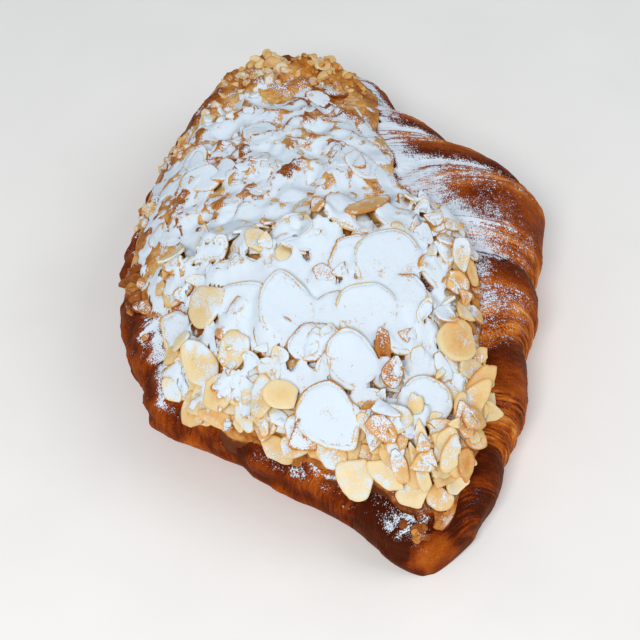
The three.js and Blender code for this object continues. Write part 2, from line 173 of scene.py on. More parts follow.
# Flaked almonds, drawn and laid as in the solid
FLAKE_SEED = 20
FLAKE_COUNT = 40
FLAKE_TRIES = 12
FLAKE_LENGTH = (11.5, 17)
TIP_FLAKE_LENGTH = (7, 10.5)
TIP_FLAKE_Y = -64
FLAKE_SLIMNESS = (0.62, 0.86)
FLAKE_POINT = (0.02, 0.32)
FLAKE_BREAK = (0.35, 1.6)
WHOLE = 2
FLAKE_THICKNESS = 1.1
FLAKE_SINK = 0.3
FLAKE_REST = 0.6
STEEPEST = 1
RANDOM_FACTOR = 1664525
RANDOM_STEP = 1013904223
RANDOM_RANGE = 2**32
CELL = 1
GRID_HALF = (62, 90)
ABOVE = 90  # height from which to look down on the object
# Flakes that stand out: x, y, length, width, yaw, point, toast, rim's toast, share of dusting and
# rise to the far side
STANDOUT_FLAKES = [
    (-39.5, -26.5, 12, 10.5, 10, 0.1, 0.25, 0.05, 0.45, 0.1),
    (-22.3, -36, 17, 13, 95, 0.15, 0.15, 0, 1, 0.2),
    (4, -29, 17.5, 14, 30, 0.1, 0.15, 0, 1, 0.22),
    (-4, -41.2, 15, 13, 10, 0.1, 0.15, 0, 1, 0.2),
    (-10.5, -51.7, 13.5, 12, 100, 0.1, 0.2, 0.05, 0.95, 0.18),
    (15.8, -50, 12.5, 10.5, 0, 0.02, 0.46, -0.25, 0.2, 0.1),
    (-43.5, -37, 12, 8.5, 100, 0.2, 0.2, 0.05, 0.5, 0.15),
    (-35.5, -40, 10, 8, 25, 0.2, 0.25, 0.05, 0.4, 0.1),
    (19, -58.5, 12, 5.5, 20, 0.3, 0.42, 0.2, 0.2, 0.5),
    (15.5, -63.5, 12, 6.5, 35, 0.25, 0.32, 0.1, 0.3, 0.3),
    (3.8, -63.4, 13, 12, 0, 0.05, 0.2, 0.1, 1.3, 0.1),
    (-14.8, -72.5, 11, 8.5, 265, 0.2, 0.08, 0.1, 0.35, 0.1),
    (4.8, -74, 9, 5, 70, 0.25, 0.3, 0.15, 0.3, 0.3),
    (-3, -75, 10, 5.5, 280, 0.2, 0.22, 0.1, 0.3, 0.2),
    (-8.2, -75, 10, 5, 300, 0.25, 0.15, 0.1, 0.3, 0.35),
    (-40.5, -46, 10, 7.5, 30, 0.15, 0.25, 0.05, 0.4, 0.1),
    (-37, -47, 11, 8, 140, 0.2, 0.25, 0.05, 0.6, 0.15),
    (-31.5, -53, 9.5, 7, 60, 0.2, 0.25, 0.05, 0.5, 0.2),
    (-23.5, -62, 10, 8, 20, 0.15, 0.55, 0.3, 0.5, 0.2),
    (-19, -66.5, 9.5, 7.5, 80, 0.2, 0.3, 0.2, 0.5, 0.1),
    (4, -13, 16.5, 6, 40, 0.2, 0.5, 0.2, 0.6, 0.05),
    (-2.5, -50.2, 8.5, 4, 75, 0.2, 0.8, 0, 0.15, 0.5),
    (-2.2, -57, 7.5, 5, 60, 0.2, 0.75, 0, 0.5, 0.2),
    (-27.5, -54.5, 9, 6.5, -20, 0.1, 0.26, -0.12, 0.02, 0.15),
    (-18.2, -62, 17.5, 13.5, -72, 0.28, 0.1, 0.35, 1, 0.05),
]
# Rings of a flake from the middle of its top to that of its underside: share of the outline and thickness
FLAKE_RINGS = [
    (0.3, 1), (0.6, 1), (0.82, 1), (0.93, 0.97), (0.985, 0.8), (1, 0.5), (0.985, 0.2), (0.93, 0.03), (0.6, 0),
]
FLAKE_SIDES = 36
FLAKE_BEND = 0.7  # most that a flake's ends curl up or down
CURL_ACROSS = 0.6  # curl across a flake, as a share of that along it
CURL_TURNS = (2.4, 3.7)  # change of the curl along and across from one flake to the next
FLAKE_RIPPLE, RIPPLE_SIZE = 0.1, 2.5
FLAKE_UNEVEN, UNEVEN_SIZE = 0.1, 0.7  # unevenness of an outline, in radii
FLAKE_JAG, JAG_SIZE, CHIP_JAG = 0.12, 0.16, 0.3  # jags of a broken end, and their share in a chip's
FLAKE_CHIPS, STANDOUT_CHIPS = 3, 2  # straight chips broken off a flake's outline, none off a buried one
CHIP_REACH = (0.72, 1.05)  # distance of a chip from the middle, in radii
FLAKE_LEAN = 0.12  # most rise to the right or left, and spread of the rise to the far side
FLAKE_FAR_RISE = 0.09  # usual rise to the far side
ARC_TOAST_AND_SHADE = 0.35  # toast and painted shade of a raised far rim, which the sugar leaves bare
ARC_WIDTH, ARC_BARE = (0.9, 0.99), 0.85  # shares of the outline where that rim starts, and of its sugar lost
FAR_SIDE = (-0.2, 0.6)  # half lengths beyond the middle over which the far side starts
RIM_WIDTH, RIM_BARE = (0.75, 1), (0.78, 0.97)  # shares of the outline where a toasted and a bare rim start
CORE_TOAST, CORE_WIDTH = 0.1, (0.3, 0.7)
STANDOUT_LIFT = 0.4  # further share of the unevenness that lifts a flake that stands out
BURIED_DUST, BURIED_SINK = 0.9, 1.0  # dusting from which such a flake lies low in the sugar, and how low
RIM_LEAN, RIM_LEAN_FROM = 0.35, 12  # rise to the right of those beyond that x, which lean on the heap
LOOK_SEED = 7
# Spans of the toast, the rim's toast and the share of dusting
HEAP_LOOKS = [(0.05, 0.4), (0, 0.4), (1, 1)]
SUNK_LOOKS = [(0.15, 0.6), (0, 0.5), (1, 1)]
SHARD_LOOKS = [(0.1, 0.6), (0, 0.2), (0.4, 1)]
EXTRA_RIM = (0, 0.15)

# Further flakes at the heap's rims and in the jumble at its near end: count, the cream's edge near them,
# reach inside it or share of the way across, y, slimness, toast, dusting and rise to the far side
RIM_FLAKES = [
    (38, "left", (-4, 5), (-74, -30), (0.45, 0.8), (0.05, 0.5), (0.1, 0.8), (-0.15, 0.45)),
    (12, "right", (-1, 6), (-70, -48), (0.4, 0.7), (0.2, 0.6), (0.4, 1.2), (0, 0.5)),
]
JUMBLE_FLAKES = [
    (30, "across", (0.15, 0.95), (-78, -62), (0.35, 0.6), (0.05, 0.55), (0.1, 1.2), (0.1, 0.6)),
    (12, "right", (0, 7), (-46, -26), (0.35, 0.6), (0.5, 0.85), (0.1, 0.6), (0, 0.5)),
]
EXTRA_LENGTH = (6, 10.5)
EXTRA_LEAN = 0.3
EXTRA_CHIPS = 5
TOP_STANDOUTS = 2  # flakes that stand out most, the last ones, which lie on top of the jumble

# Broken shards in the gaps of the heap, and flakes half sunk in the far cream
SHARD_COUNT = 130
SHARD_LENGTH = (4, 9)
SHARD_THICKNESS, SHARD_SINK = 0.8, 0.2
SHARD_SHAPE = [(0.4, 0.8), (0.1, 0.7), (0.1, 1.2)]  # slimness, point and break
SHARD_EDGE_SHARE, SHARD_LEFT_SHARE = 0.45, 0.6  # share along the edges, and of those on the left
SHARD_CLEAR = 1.15  # distance from a flake that stands out, in its radii
SHARD_EDGE = 8
SUNK_COUNT = 14
SUNK_LENGTH = (7, 13)
SUNK_SPAN = (-12, 68)
SUNK_DEPTH = 0.75
SUNK_INSIDE = (6, -4)  # from the cream's left and right edge

# Chopped almonds and crumbs: middle, spread, count, sizes, toast and share of dusting of each scatter
NUB_SCATTERS = [
    ((-8, 62), (12, 8), 30, (2.0, 5.5), 0.42, 0.8),
    ((-20, 48), (12, 9), 14, (2.0, 5.0), 0.4, 0.8),
    ((12, 58), (10, 12), 26, (1.5, 4.5), 0.6, 0.8),
    ((-54, -6), (3, 15), 26, (2.5, 6.0), 0.9, 0.3),
    ((-2, 64), (18, 10), 50, (1.2, 3.2), 0.6, 0.5),
    ((14, 50), (9, 14), 30, (1.2, 3.2), 0.6, 0.6),
    ((-3, -83), (5, 2), 10, (2.0, 4.5), 0.9, 0.8),
    ((-46, 22), (4, 14), 16, (2.0, 5.0), 0.6, 0.5),
    ((-36, 44), (5, 14), 20, (2.0, 5.0), 0.55, 0.5),
    ((-18, 20), (20, 22), 16, (2.0, 4.0), 0.35, 0.9),
    ((-39, -47), (4, 9), 22, (1.5, 3.5), 0.55, 0.9),
]
NUB_SINK = 0.4  # share of a nub's size that is sunk
NUB_EDGE_ANGLE = 28  # angle from which an edge of a nub is sharp
NUB_CUTS, NUB_CUT_REACH = 6, (0.45, 0.75)
NUB_UNEVEN, NUB_UNEVEN_SIZE = 0.25, 0.9
NUB_SHAPE, NUB_FINENESS = (1, 0.8, 0.7), 3
NUB_TONES = (-0.2, 0.2)

# Powdered sugar: how much falls where
SUGAR_MIDDLE = (-17, -6)
SUGAR_REACH = (46, 61)
SUGAR_NEAR_REACH = 70
SUGAR_LEFT_BARE, SUGAR_LEFT_RIM = 0.2, (38, 52)  # what is missing along the left rim
SUGAR_EDGES = (0.78, 1.3)  # in reaches: full amount inside the first, none outside the second
SUGAR_FALL = (0, -0.55, 1)  # the way back up along which the sugar was sprinkled
SUGAR_RAYS = [  # way up and weight
    ((0, 0, 1), 1), ((0, -0.6, 1), 2), ((-0.3, -0.9, 1), 2), ((0.7, -0.3, 1), 1), ((-0.7, -0.3, 1), 1),
]
SUGAR_RAY_LENGTH = 25
RAY_OUT, RAY_UP = 0.06, 0.04  # start of a ray, out of the surface and above it
RAY_FACING = -0.3  # least turn upwards of a surface that can hold sugar
SUGAR_WAVES = [(0.12, 12, 21)]
SUGAR_FACING = (0.45, 0.85)  # share of a surface turned that way between which sugar starts to hold
CREVICE_DEPTH = 3  # distance within which a neighbour paints shade into a crevice
# painted shade: toast added in crevices that a close neighbour blocks
CREVICE_SHADE = 0.25
CRUST_DUST_RIGHT, CRUST_DUST_LEFT = 1.4, 2.2
CRUST_DUST_REACH = (12, 28)  # on the right and left
CRUST_PATCHES, CRUST_EVEN = [(0.6, 9, 23), (0.3, 3, 24)], 0.75
RIGHT_DUST_FROM = (-50, -14)
CRUST_SPECKS, SPECKS_ABOVE = 0.05, (6, 20)  # sparse sugar all over the crust
SKIN_BARE = 0.6  # share of the sugar that the smooth skin of a wrap sheds on the right
BARE_START, BARE_END = (0.04, 0.14), (-0.08, 0.04)  # places in a wrap, the second around the skin's edge
WIDE_WRAP, WIDE_FADE = (-12, 15), 3  # stretch of the widest wrap, whose skin keeps its sugar
WIDE_DUST = 0.4  # share of sugar that this wrap has more
AWAY_FROM = (2, 10)  # distance from the topping over which both set in
CREAM_DUST = 0.5  # share of the dusting on the cream itself, below the layer of sugar
TIP_DUST, TIP_DUST_FROM = 0.3, (62, 76)
CREASE_DUST, CREASE_WIDTH, CREASE_REACH, CREASE_FROM = 1.3, 0.035, 26, (-50, -25)

# The layer of sugar, which drifts against the near sides of what it lies on
LAYER_CELL = 0.46
LAYER_SIDES = (-60, 32)
LAYER_SINK, LAYER_COAT = -0.8, 0.22  # height above what is below it, without sugar and with the full amount
LAYER_FULL = (0.35, 0.85)  # amounts of sugar between which the layer grows
LAYER_PATCHES = [(0.3, 6, 31), (0.2, 2, 32)]
FAR_PATCHES = [(0.42, 8, 33), (0.42, 3, 34)]  # further ones in the far part
FAR_BARE = 0.084  # amount missing in the far part
VEINS, VEIN_BARE, VEIN_WIDTH = [(1, 7, 37)], 0.5, 0.07  # thin cracks in the far part
VEIN_STRETCH = (1, 0.6, 1)
RIDGE_BARE = 0.45  # amount missing there for each millimetre above the surroundings
FAR_FROM = (-14, 8)  # y between which the far part starts
BASE_BLURS = 50
DRIFT_SLOPE = 0.42
DRIFT_DEPTH = 2.2  # height of an edge that is too high for a drift
DRIFT_BLURS = 3
SOFTEST_DRIFT = 0.7  # most that smoothing moves a drift
STEEPEST_LAYER = 1.8  # most height across a cell, above which the layer is torn
POWDER = [(0.12, 1.3, 35)]
LAYER_LEAST, LAYER_COVER = -0.3, (-0.25, 0.3)  # height from which there is a layer, and over which it covers
LAYER_OPAQUE, THIN_PLACES = 0.9, [(0.28, 5, 36)]
LAYER_TOAST = 0.4

# Materials
# a bluish white: its blue tint is painted cool shade
SUGAR_COLOUR_WITH_COOL_SHADE = (225, 239, 254)
SUGAR_GRAIN, SUGAR_CLUMP, CLUMPING = 0.34, 1.6, 0.2
SUGAR_PATCH, SUGAR_PATCH_SIZE = 0.6, 5
PATCHY_UP_TO, LEAST_PATCHY = (0.5, 0.85), 0.15  # cover over which patches fade, and what is left of them
COVER_POWER, COVER_FACTOR = 1.3, 1.55
COVER_START, GRAIN_EDGE = (0.02, 0.14), (0.9, 1.25)
MOST_OF_NOISE, WIDER_NOISE, STREAK_NOISE = (0.3, 0.7), (0.25, 0.75), (0.36, 0.64)
SUGAR_ROUGHNESS, SUGAR_BUMP = 0.95, 0.6
ROUGHNESS_SPREAD = (-0.06, 0.1)
BUMP_STRENGTH, BUMP_HEIGHT = 0.5, 0.12
MOTTLE_DETAIL, SPECK_DETAIL, STREAK_DETAIL = 4, 3, 3
PLAIN_GLOSS = 0.2
GLOW_RADIUS, GLOW_DEPTH = (1.0, 0.6, 0.35), 1.2
GLOSS_TINT = (255, 196, 140)
STREAKS_PER_LAYER, STREAK_LENGTH = 2, 6
STREAK_TOAST = (-0.12, 0.24)
STREAK_SUGAR = (-0.2, 0.3)  # further sugar on the streaks
CRUST_SHEEN, CRUST_SHEEN_TINT = 0.12, (255, 150, 70)

# Floor, sky and lights
FLOOR_HALF, FLOOR_GRAIN, FLOOR_ROUGHNESS = 4000, 30, 0.9
FLOOR_GLOW, FLOOR_GLOW_STRENGTH = (255, 252, 248), 0.08
SKY_COLOUR, SKY_STRENGTH = (0.9, 0.95, 1.0, 1), 0.36
LIGHTS = [  # name, azimuth, elevation, distance, size, watts and colour
    ("key", -30, 46, 800, 240, 3.4, (1.0, 0.97, 0.93)),
    ("right", 65, 50, 800, 400, 1.3, (1.0, 0.99, 0.97)),
]

# Camera at the viewing angle of the photograph, with its sensor's width
CAMERA_AZIMUTH, CAMERA_ELEVATION = -13.99, 48
CAMERA_DISTANCE = 365
CAMERA_TARGET = (-9.5, -18, 20)
CAMERA_LENS, CAMERA_SENSOR = 80, 36


def smooth(value, low, high):
    """Smooth step from 0 at low to 1 at high."""
    t = np.clip((value - low) / (high - low), 0, 1)
    return t * t * (3 - 2 * t)


def noise_at(points, size, seed):
    """Smooth noise from -1 to 1 at points, with features of about that size."""
    return np.array([noise.noise(point) for point in (points / size + NOISE_SHIFT * seed).tolist()])


def noises(points, kinds):
    """Sum of noises at points, each with its height, size and seed."""
    return sum(height * noise_at(points, size, seed) for height, size, seed in kinds)


def stacked(*places):
    """Points from their places along x, y and z."""
    return np.stack(np.broadcast_arrays(*places), -1).reshape(-1, 3)


def monotone_curve(places, values):
    """A curve through the values at their places that doesn't overshoot them."""
    places = np.asarray(places, float)
    values = np.asarray(values, float)
    rises = np.diff(values) / np.diff(places)
    before = np.concatenate([rises[:1], rises])
    after = np.concatenate([rises, rises[-1:]])
    same_way = before * after > 0
    tangents = np.where(same_way, 2 * before * after / np.where(same_way, before + after, 1), 0)

    def curve(place):
        i = np.clip(np.searchsorted(places, place) - 1, 0, len(places) - 2)
        span = places[i + 1] - places[i]
        t = (place - places[i]) / span
        ease = t * t * (3 - 2 * t)
        bend = tangents[i] * t * (1 - t) ** 2 - tangents[i + 1] * t * t * (1 - t)
        return values[i] * (1 - ease) + values[i + 1] * ease + bend * span

    return curve


roll_share, roll_right, roll_left, roll_crown = zip(*STATIONS)
right_curve = monotone_curve(roll_share, roll_right)
left_curve = monotone_curve(roll_share, roll_left)
crown_curve = monotone_curve(roll_share, roll_crown)
cream_y, cream_lefts, cream_rights = zip(*CREAM_STATIONS)
cream_left = monotone_curve(cream_y, cream_lefts)
cream_right = monotone_curve(cream_y, cream_rights)


def section_at(y):
    """Half widths and crown height of the roll's section at y, with the tips rounded off."""
    share = np.clip(y, -HALF_LENGTH, HALF_LENGTH) / HALF_LENGTH
    start = np.where(share < 0, *TIP_ROUND_FROM)
    past = np.maximum(0, (np.abs(share) - start) / (1 - start))
    tip = np.sqrt(np.maximum(0, 1 - past**2))
    height = TIP_LEAST_HEIGHT + (1 - TIP_LEAST_HEIGHT) * tip
    return right_curve(share) * tip, left_curve(share) * tip, crown_curve(share) * height


def wrap_place(x, y):
    """Place within a wrap: 0 at a crease, growing over the skin to 1 at the next crease."""
    wave = WAVE_HEIGHT * np.sin(np.radians(WAVE_TURN_X * x + WAVE_TURN_Y * y))
    away = np.abs(y - WRAP_MIDDLE - WRAP_LEAN * np.maximum(0, x)) - FIRST_EDGE + wave * WRAP_PITCH
    middle = np.maximum(MIDDLE_SKIN, 1 + away / MIDDLE_STRIPES * (1 - SKIN_SHARE))
    return np.where(away < 0, middle, (away / WRAP_PITCH) % 1)


def crown_at(x, y):
    """Height of the roll's crown at a place seen from above, without the wraps' relief."""
    right, left, crown = section_at(y)
    half = np.maximum(np.where(x > 0, right, left), 1e-6)
    across = np.minimum(1, np.abs(x) / half) ** (1 / SIDE_POWER)
    belly = BELLY_SHARE * crown
    return belly + (crown - belly) * np.sqrt(1 - across**2) ** TOP_POWER


def lumps_at(x, y):
    """Height of the cream's lumps, in rows and columns."""
    total = 0
    for height, spacing, turn in LUMPS:
        c, s = cos(radians(turn)), sin(radians(turn))
        turns = 2 * pi / spacing
        total = total + height * np.sin(turns * (x * c + y * s)) * np.sin(turns * (y * c - x * s))
    return total


def cream_top(x, y):
    """Height of the cream's surface at a place seen from above."""
    left, right = cream_left(y), cream_right(y)
    share = np.minimum(1, np.abs(2 * (x - left) / (right - left) - 1))
    ends = smooth(y, CREAM_NEAR, CREAM_NEAR + END_FADE) * smooth(-y, -CREAM_FAR, END_FADE - CREAM_FAR)
    heap = HEAP_HEIGHT * smooth(y, HEAP_SPAN[0], HEAP_SPAN[0] + HEAP_SLOPE)
    heap = heap * smooth(-y, -HEAP_SPAN[1], HEAP_SLOPE - HEAP_SPAN[1])
    heap = heap * smooth(x, HEAP_LEFT, HEAP_LEFT + HEAP_SLOPE)
    full = CREAM_BODY + lumps_at(x, y) + heap
    return crown_at(x, y) + CREAM_RIM + full * ends * (1 - share**RIM_POWER)


def tube_faces(rings, sides):
    """Faces of a tube of rings, with a point after the last ring for each end."""
    ring = np.arange(rings - 1)[:, None] * sides
    side = np.arange(sides)[None, :]
    following = (side + 1) % sides
    quads = [ring + side, ring + sides + side, ring + sides + following, ring + following]
    faces = np.stack(np.broadcast_arrays(*quads), -1).reshape(-1, 4).tolist()
    start, last = rings * sides, (rings - 1) * sides
    for a, b in zip(side[0].tolist(), following[0].tolist()):
        faces.append((start, a, b))
        faces.append((start + 1, last + b, last + a))
    return faces


def cut_layers(place, points):
    """Cut layers of a striped edge: their count, depth of the groove below each, and each one's tone."""
    along = points * LAYER_STRETCH
    count = (place - SKIN_SHARE) / (1 - SKIN_SHARE) * LAYERS_PER_WRAP
    count = count + noises(along, LAYER_WANDERS)
    part = count % 1
    groove = smooth(part, *GROOVE_FALL) * (1 - smooth(part, *GROOVE_RISE))
    clear = smooth(noises(along, GROOVE_BREAKS), *GROOVE_FAINT)
    tone = np.sin(TONE_TURN * np.floor(count))
    return count, groove * (GROOVE_LEAST + (1 - GROOVE_LEAST) * clear), tone


def crust_form():
    """Points of the crust without its relief, the ways out of it, and the count of points in a ring."""
    upper = np.linspace(BASE_HALF_ANGLE - 90, 270 - BASE_HALF_ANGLE, CRUST_UPPER)
    base = np.linspace(270 - BASE_HALF_ANGLE, 270 + BASE_HALF_ANGLE, CRUST_BASE + 2)[1:-1]
    angle = np.radians(np.concatenate([upper, base]))[None, :]
    y = np.linspace(-HALF_LENGTH, HALF_LENGTH, CRUST_RINGS + 2)[1:-1, None]
    right, left, crown = section_at(y)
    belly = BELLY_SHARE * crown
    across, up = np.cos(angle), np.sin(angle)
    x = np.where(across > 0, right, left) * np.sign(across) * np.abs(across) ** SIDE_POWER
    above = (crown - belly) * np.maximum(up, 0) ** TOP_POWER
    below = -BASE_SINK * belly * np.maximum(-up, 0) ** BASE_POWER
    rise = np.where(up > 0, above, below)
    out = stacked(x, 0, rise)
    out = out / np.maximum(np.linalg.norm(out, axis=1), 1e-9)[:, None]
    return stacked(x, y, belly + rise), out, angle.size


def wrap_step(place, down):
    """Height of the step at each wrap, up along its skin and down over its stripes."""
    lifted = np.sqrt(np.sin(np.radians(90 * np.minimum(place / SKIN_SHARE, 1))))
    return np.where(place < SKIN_SHARE, 2 * lifted - 1, 1 - 2 * down**STEP_POWER) * WRAP_STEP


def crust_lumps(points):
    """Height of the lumps on the left side, and of those at the tips."""
    x, y, _ = points.T
    at_tips = smooth(np.abs(y), HALF_LENGTH - np.where(y < 0, *TIP_CRAG_REACH), HALF_LENGTH)
    crags = noises(points, LEFT_CRAGS) * smooth(-x, *LEFT_SIDE)
    return crags, noises(points, TIP_CRAGS) * at_tips


def crust_arrays():
    """Points, faces, toast with painted shade and light, count of layers and amount of stripes of the crust.
    """
    flat, out, sides = crust_form()
    x, y, z = flat.T
    place = wrap_place(x, y)
    skin = place < SKIN_SHARE
    down = np.clip((place - SKIN_SHARE) / (1 - SKIN_SHARE), 0, 1)
    count, groove, tone = cut_layers(place, flat)
    blisters = BLISTER_HEIGHT * smooth(noises(flat, BLISTERS), *BLISTER_PART)
    wrinkles = noises(flat * WRINKLE_STRETCH, WRINKLES)
    ridges = np.sin(2 * pi * LAYER_RIDGES * count / LAYERS_PER_WRAP)
    plain = np.where(y < 0, *TIP_PLAIN)
    shown = smooth(HALF_LENGTH - np.abs(y), 1, plain) * (1 - LEFT_PLAIN * smooth(-x, *LEFT_SIDE))
    groove = groove * shown
    crags, knobs = crust_lumps(flat)
    striped = RIDGE_DEPTH * ridges * shown + LAYER_DEPTH * (TONE_STEP * tone - groove)
    relief = wrap_step(place, down) + wrinkles + knobs + crags + np.where(skin, blisters, striped)
    points = flat + out * (relief * smooth(z, *RELIEF_FADE))[:, None]
    points[:, 2] = np.maximum(0, points[:, 2])
    # the valleys between the ridges get toast and painted shade, like the grooves
    toast_and_shading = crust_toast_and_shading(flat, place, down, groove + RIDGE_TOAST_AND_SHADE * (1 - ridges) * shown, tone)
    # painted shade: hollows of the crags and knobs darker, their tops lighter
    toast_and_shading = toast_and_shading + CRAG_SHADE * crags + KNOB_SHADE * knobs
    stripes = np.where(skin, SKIN_LINES, 1) * shown
    ends = np.array([-HALF_LENGTH, HALF_LENGTH], float)
    points = np.vstack([points, stacked(0, ends, section_at(ends)[2] * BELLY_SHARE)])
    values = [np.append(toast_and_shading, [END_TOAST] * 2), np.append(count, [0, 0]), np.append(stripes, [0, 0])]
    return points, tube_faces(CRUST_RINGS, sides), *values


def crust_toast_and_shading(points, place, down, groove, tone):
    """How darkly each point of the crust is baked, from 0 to 1, with painted shade in its grooves and painted
    light low down its sides.
    """
    x, y, z = points.T
    place = place + noises(points, EDGE_WAVES)
    streaks = 0
    for most, thin, size, seed in TOAST_STREAKS:
        streaks = streaks + most * noise_at(points * (thin, 1, thin), size, seed)
    on_skin = 1 - SKIN_FADE * smooth(place, *SKIN_FADE_OVER) + streaks
    # toast and painted shade in the grooves
    on_stripes = STRIPE_TOAST + GROOVE_TOAST_AND_SHADE * groove + TONE_TOAST * tone
    on_stripes = on_stripes + FOOT_TOAST * smooth(down, *FOOT_FROM) + STRIPE_STREAKS * streaks
    change = smooth(place - SKIN_SHARE, *SKIN_TO_STRIPES) * (1 - smooth(y, *FAR_END))
    tip = (TIP_TOAST + noises(points, TIP_TOAST_PATCHES)) * smooth(-y, *TIP_TOAST_FROM)
    # lighter low down the sides: a golden bake and painted light
    low = SIDE_BAKE_AND_PAINTED_LIGHT * (1 - smooth(z, *SIDE_TOAST_BELOW)) * smooth(y, *SIDE_TOAST_FROM)
    toast_and_shading = on_skin + (on_stripes - on_skin) * change + noises(points, TOAST_PATCHES) + tip + low
    toast_and_shading = toast_and_shading + LEFT_BAKED * (LEFT_TOAST - toast_and_shading) * smooth(-x, *LEFT_SIDE)
    base = BASE_TOAST + BASE_TIP_TOAST * smooth(-y, *BASE_TIP_FROM)
    return base + (toast_and_shading - base) * smooth(z, *BASE_FADE)


def cream_outline():
    """Places of the cream's rows, its left and right edge there, and the share of the crags that shows."""
    y = np.linspace(CREAM_NEAR, CREAM_FAR, CREAM_ROWS + 2)[1:-1]
    from_end = np.minimum(y - CREAM_NEAR, CREAM_FAR - y)
    ends = smooth(from_end, 0, CRAG_FADE)
    rounded = np.sqrt(1 - (1 - np.minimum(1, from_end / END_ROUND)) ** 2)
    middle = (cream_left(y) + cream_right(y)) / 2
    edges = []
    for edge, ragged in zip((cream_left(y), cream_right(y)), RAGGED_EDGES):
        edges.append(middle + (edge - middle) * rounded + ends * noises(stacked(0, y, 0), ragged))
    return y, *edges, ends


def cream_arrays():
    """Points, faces and toast of the cream."""
    y, left, right, ends = cream_outline()
    share = np.linspace(0, 1, CREAM_COLUMNS)[None, :]
    x = right[:, None] + (left - right)[:, None] * share
    rows = np.broadcast_to(y[:, None], x.shape)
    z = cream_top(x, rows)
    flat = stacked(x, rows, z)
    crag = sum(height * (CRAG_TOP - 2 * np.abs(noise_at(flat, size, seed))) for height, size, seed in CRAGS)
    toast_and_shading = CREAM_TOAST + CRAG_BAKED * crag + noises(flat, CREAM_PATCHES)
    first, last, power = CRAG_INSIDE
    z = z + crag.reshape(x.shape) * ends[:, None] * np.sin(pi * np.clip(share, first, last)) ** power
    root = crown_at(x, rows) - CREAM_ROOT
    top = np.stack([x, rows, z], -1)
    left_wall = wall_points(top[:, -1], root[:, -1])
    right_wall = wall_points(top[:, 0], root[:, 0])[:, ::-1]
    points = np.concatenate([right_wall, top, left_wall], axis=1)
    walls = []
    for wall in (right_wall, left_wall):
        walls.append(WALL_TOAST + LOW_WALL_TOAST * smooth(-wall[..., 2], *LOW_WALL))
    toast_and_shading = np.concatenate([walls[0], toast_and_shading.reshape(x.shape), walls[1]], axis=1)
    toast_and_shading = toast_and_shading + CREAM_END_TOAST * smooth(np.abs(points[..., 1] - CREAM_MIDDLE), *CREAM_END_FROM)
    tips = np.array([CREAM_NEAR, CREAM_FAR], float)
    middles = (cream_left(tips) + cream_right(tips)) / 2
    faces = tube_faces(len(y), points.shape[1])
    points = np.vstack([points.reshape(-1, 3), stacked(middles, tips, crown_at(middles, tips))])
    return points, faces, np.append(toast_and_shading, [CREAM_TIP_TOAST] * 2)


def wall_points(top, root):
    """Points from the top of a side wall down to its root, for each row."""
    fall = np.linspace(0, 1, CREAM_WALL + 1)[1:]
    height = top[:, None, 2] + (root - top[:, 2])[:, None] * fall
    return np.stack(np.broadcast_arrays(top[:, None, 0], top[:, None, 1], height), -1)


def random_stream(seed):
    """A function that draws repeatable numbers, from 0 to 1 or from another span."""
    state = seed

    def draw(low=0, high=1):
        nonlocal state
        state = (state * RANDOM_FACTOR + RANDOM_STEP) % RANDOM_RANGE
        return low + (high - low) * state / RANDOM_RANGE

    return draw


def shape_flake(draw, x, y, lengths, slimness, points=FLAKE_POINT, breaks=FLAKE_BREAK):
    """A flake at a place, whose size, outline and direction are drawn."""
    length = draw(*lengths)
    return {
        "x": x,
        "y": y,
        "length": length,
        "width": length * draw(*slimness),
        "point": draw(*points),
        "broken": draw(*breaks),
        "yaw": 360 * draw(),
    }


def flake_looks(draw, toasts, rims, dustings):
    """How darkly a flake and its rim are baked, and its share of dusting."""
    return {"toast_and_shading": draw(*toasts), "rim": draw(*rims), "dust": draw(*dustings)}


def drawn_flakes():
    """Sizes and places of the heap's flakes, drawn as in the solid."""
    draw = random_stream(FLAKE_SEED)
    flakes = []
    for _ in range(FLAKE_COUNT):
        best = None
        for _ in range(FLAKE_TRIES):
            y = draw(*HEAP_SPAN)
            x = draw(max(float(cream_left(y)), HEAP_LEFT), float(cream_right(y)))
            room = min([hypot(f["x"] - x, f["y"] - y) for f in flakes] + [HALF_LENGTH])
            if best is None or room > best[2]:
                best = (x, y, room)
        lengths = TIP_FLAKE_LENGTH if best[1] < TIP_FLAKE_Y else FLAKE_LENGTH
        flakes.append(shape_flake(draw, *best[:2], lengths, FLAKE_SLIMNESS))
    return flakes


def standout_flakes():
    """The flakes that stand out, with their looks."""
    names = ("x", "y", "length", "width", "yaw", "point", "toast_and_shading", "rim", "dust", "rise")
    flakes = [dict(zip(names, flake), broken=WHOLE) for flake in STANDOUT_FLAKES]
    for flake in flakes:
        flake["lean"] = RIM_LEAN if flake["x"] > RIM_LEAN_FROM else 0
        flake["chips"] = 0 if flake["dust"] > BURIED_DUST else STANDOUT_CHIPS
    return flakes


def height_grid():
    """Heights of the cream on a grid of square cells, and the places of the cells' middles."""
    x = np.arange(-GRID_HALF[0], GRID_HALF[0] + CELL, CELL, float)
    y = np.arange(-GRID_HALF[1], GRID_HALF[1] + CELL, CELL, float)
    columns, rows = np.meshgrid(x, y)
    return {"x": columns, "y": rows, "z": cream_top(columns, rows)}


def oval_share(flake, x, y):
    """Place of points in a flake's own axes, in half lengths along it and half widths across it."""
    c, s = cos(radians(flake["yaw"])), sin(radians(flake["yaw"]))
    dx, dy = x - flake["x"], y - flake["y"]
    return (dx * c + dy * s) / (flake["length"] / 2), (dy * c - dx * s) / (flake["width"] / 2)


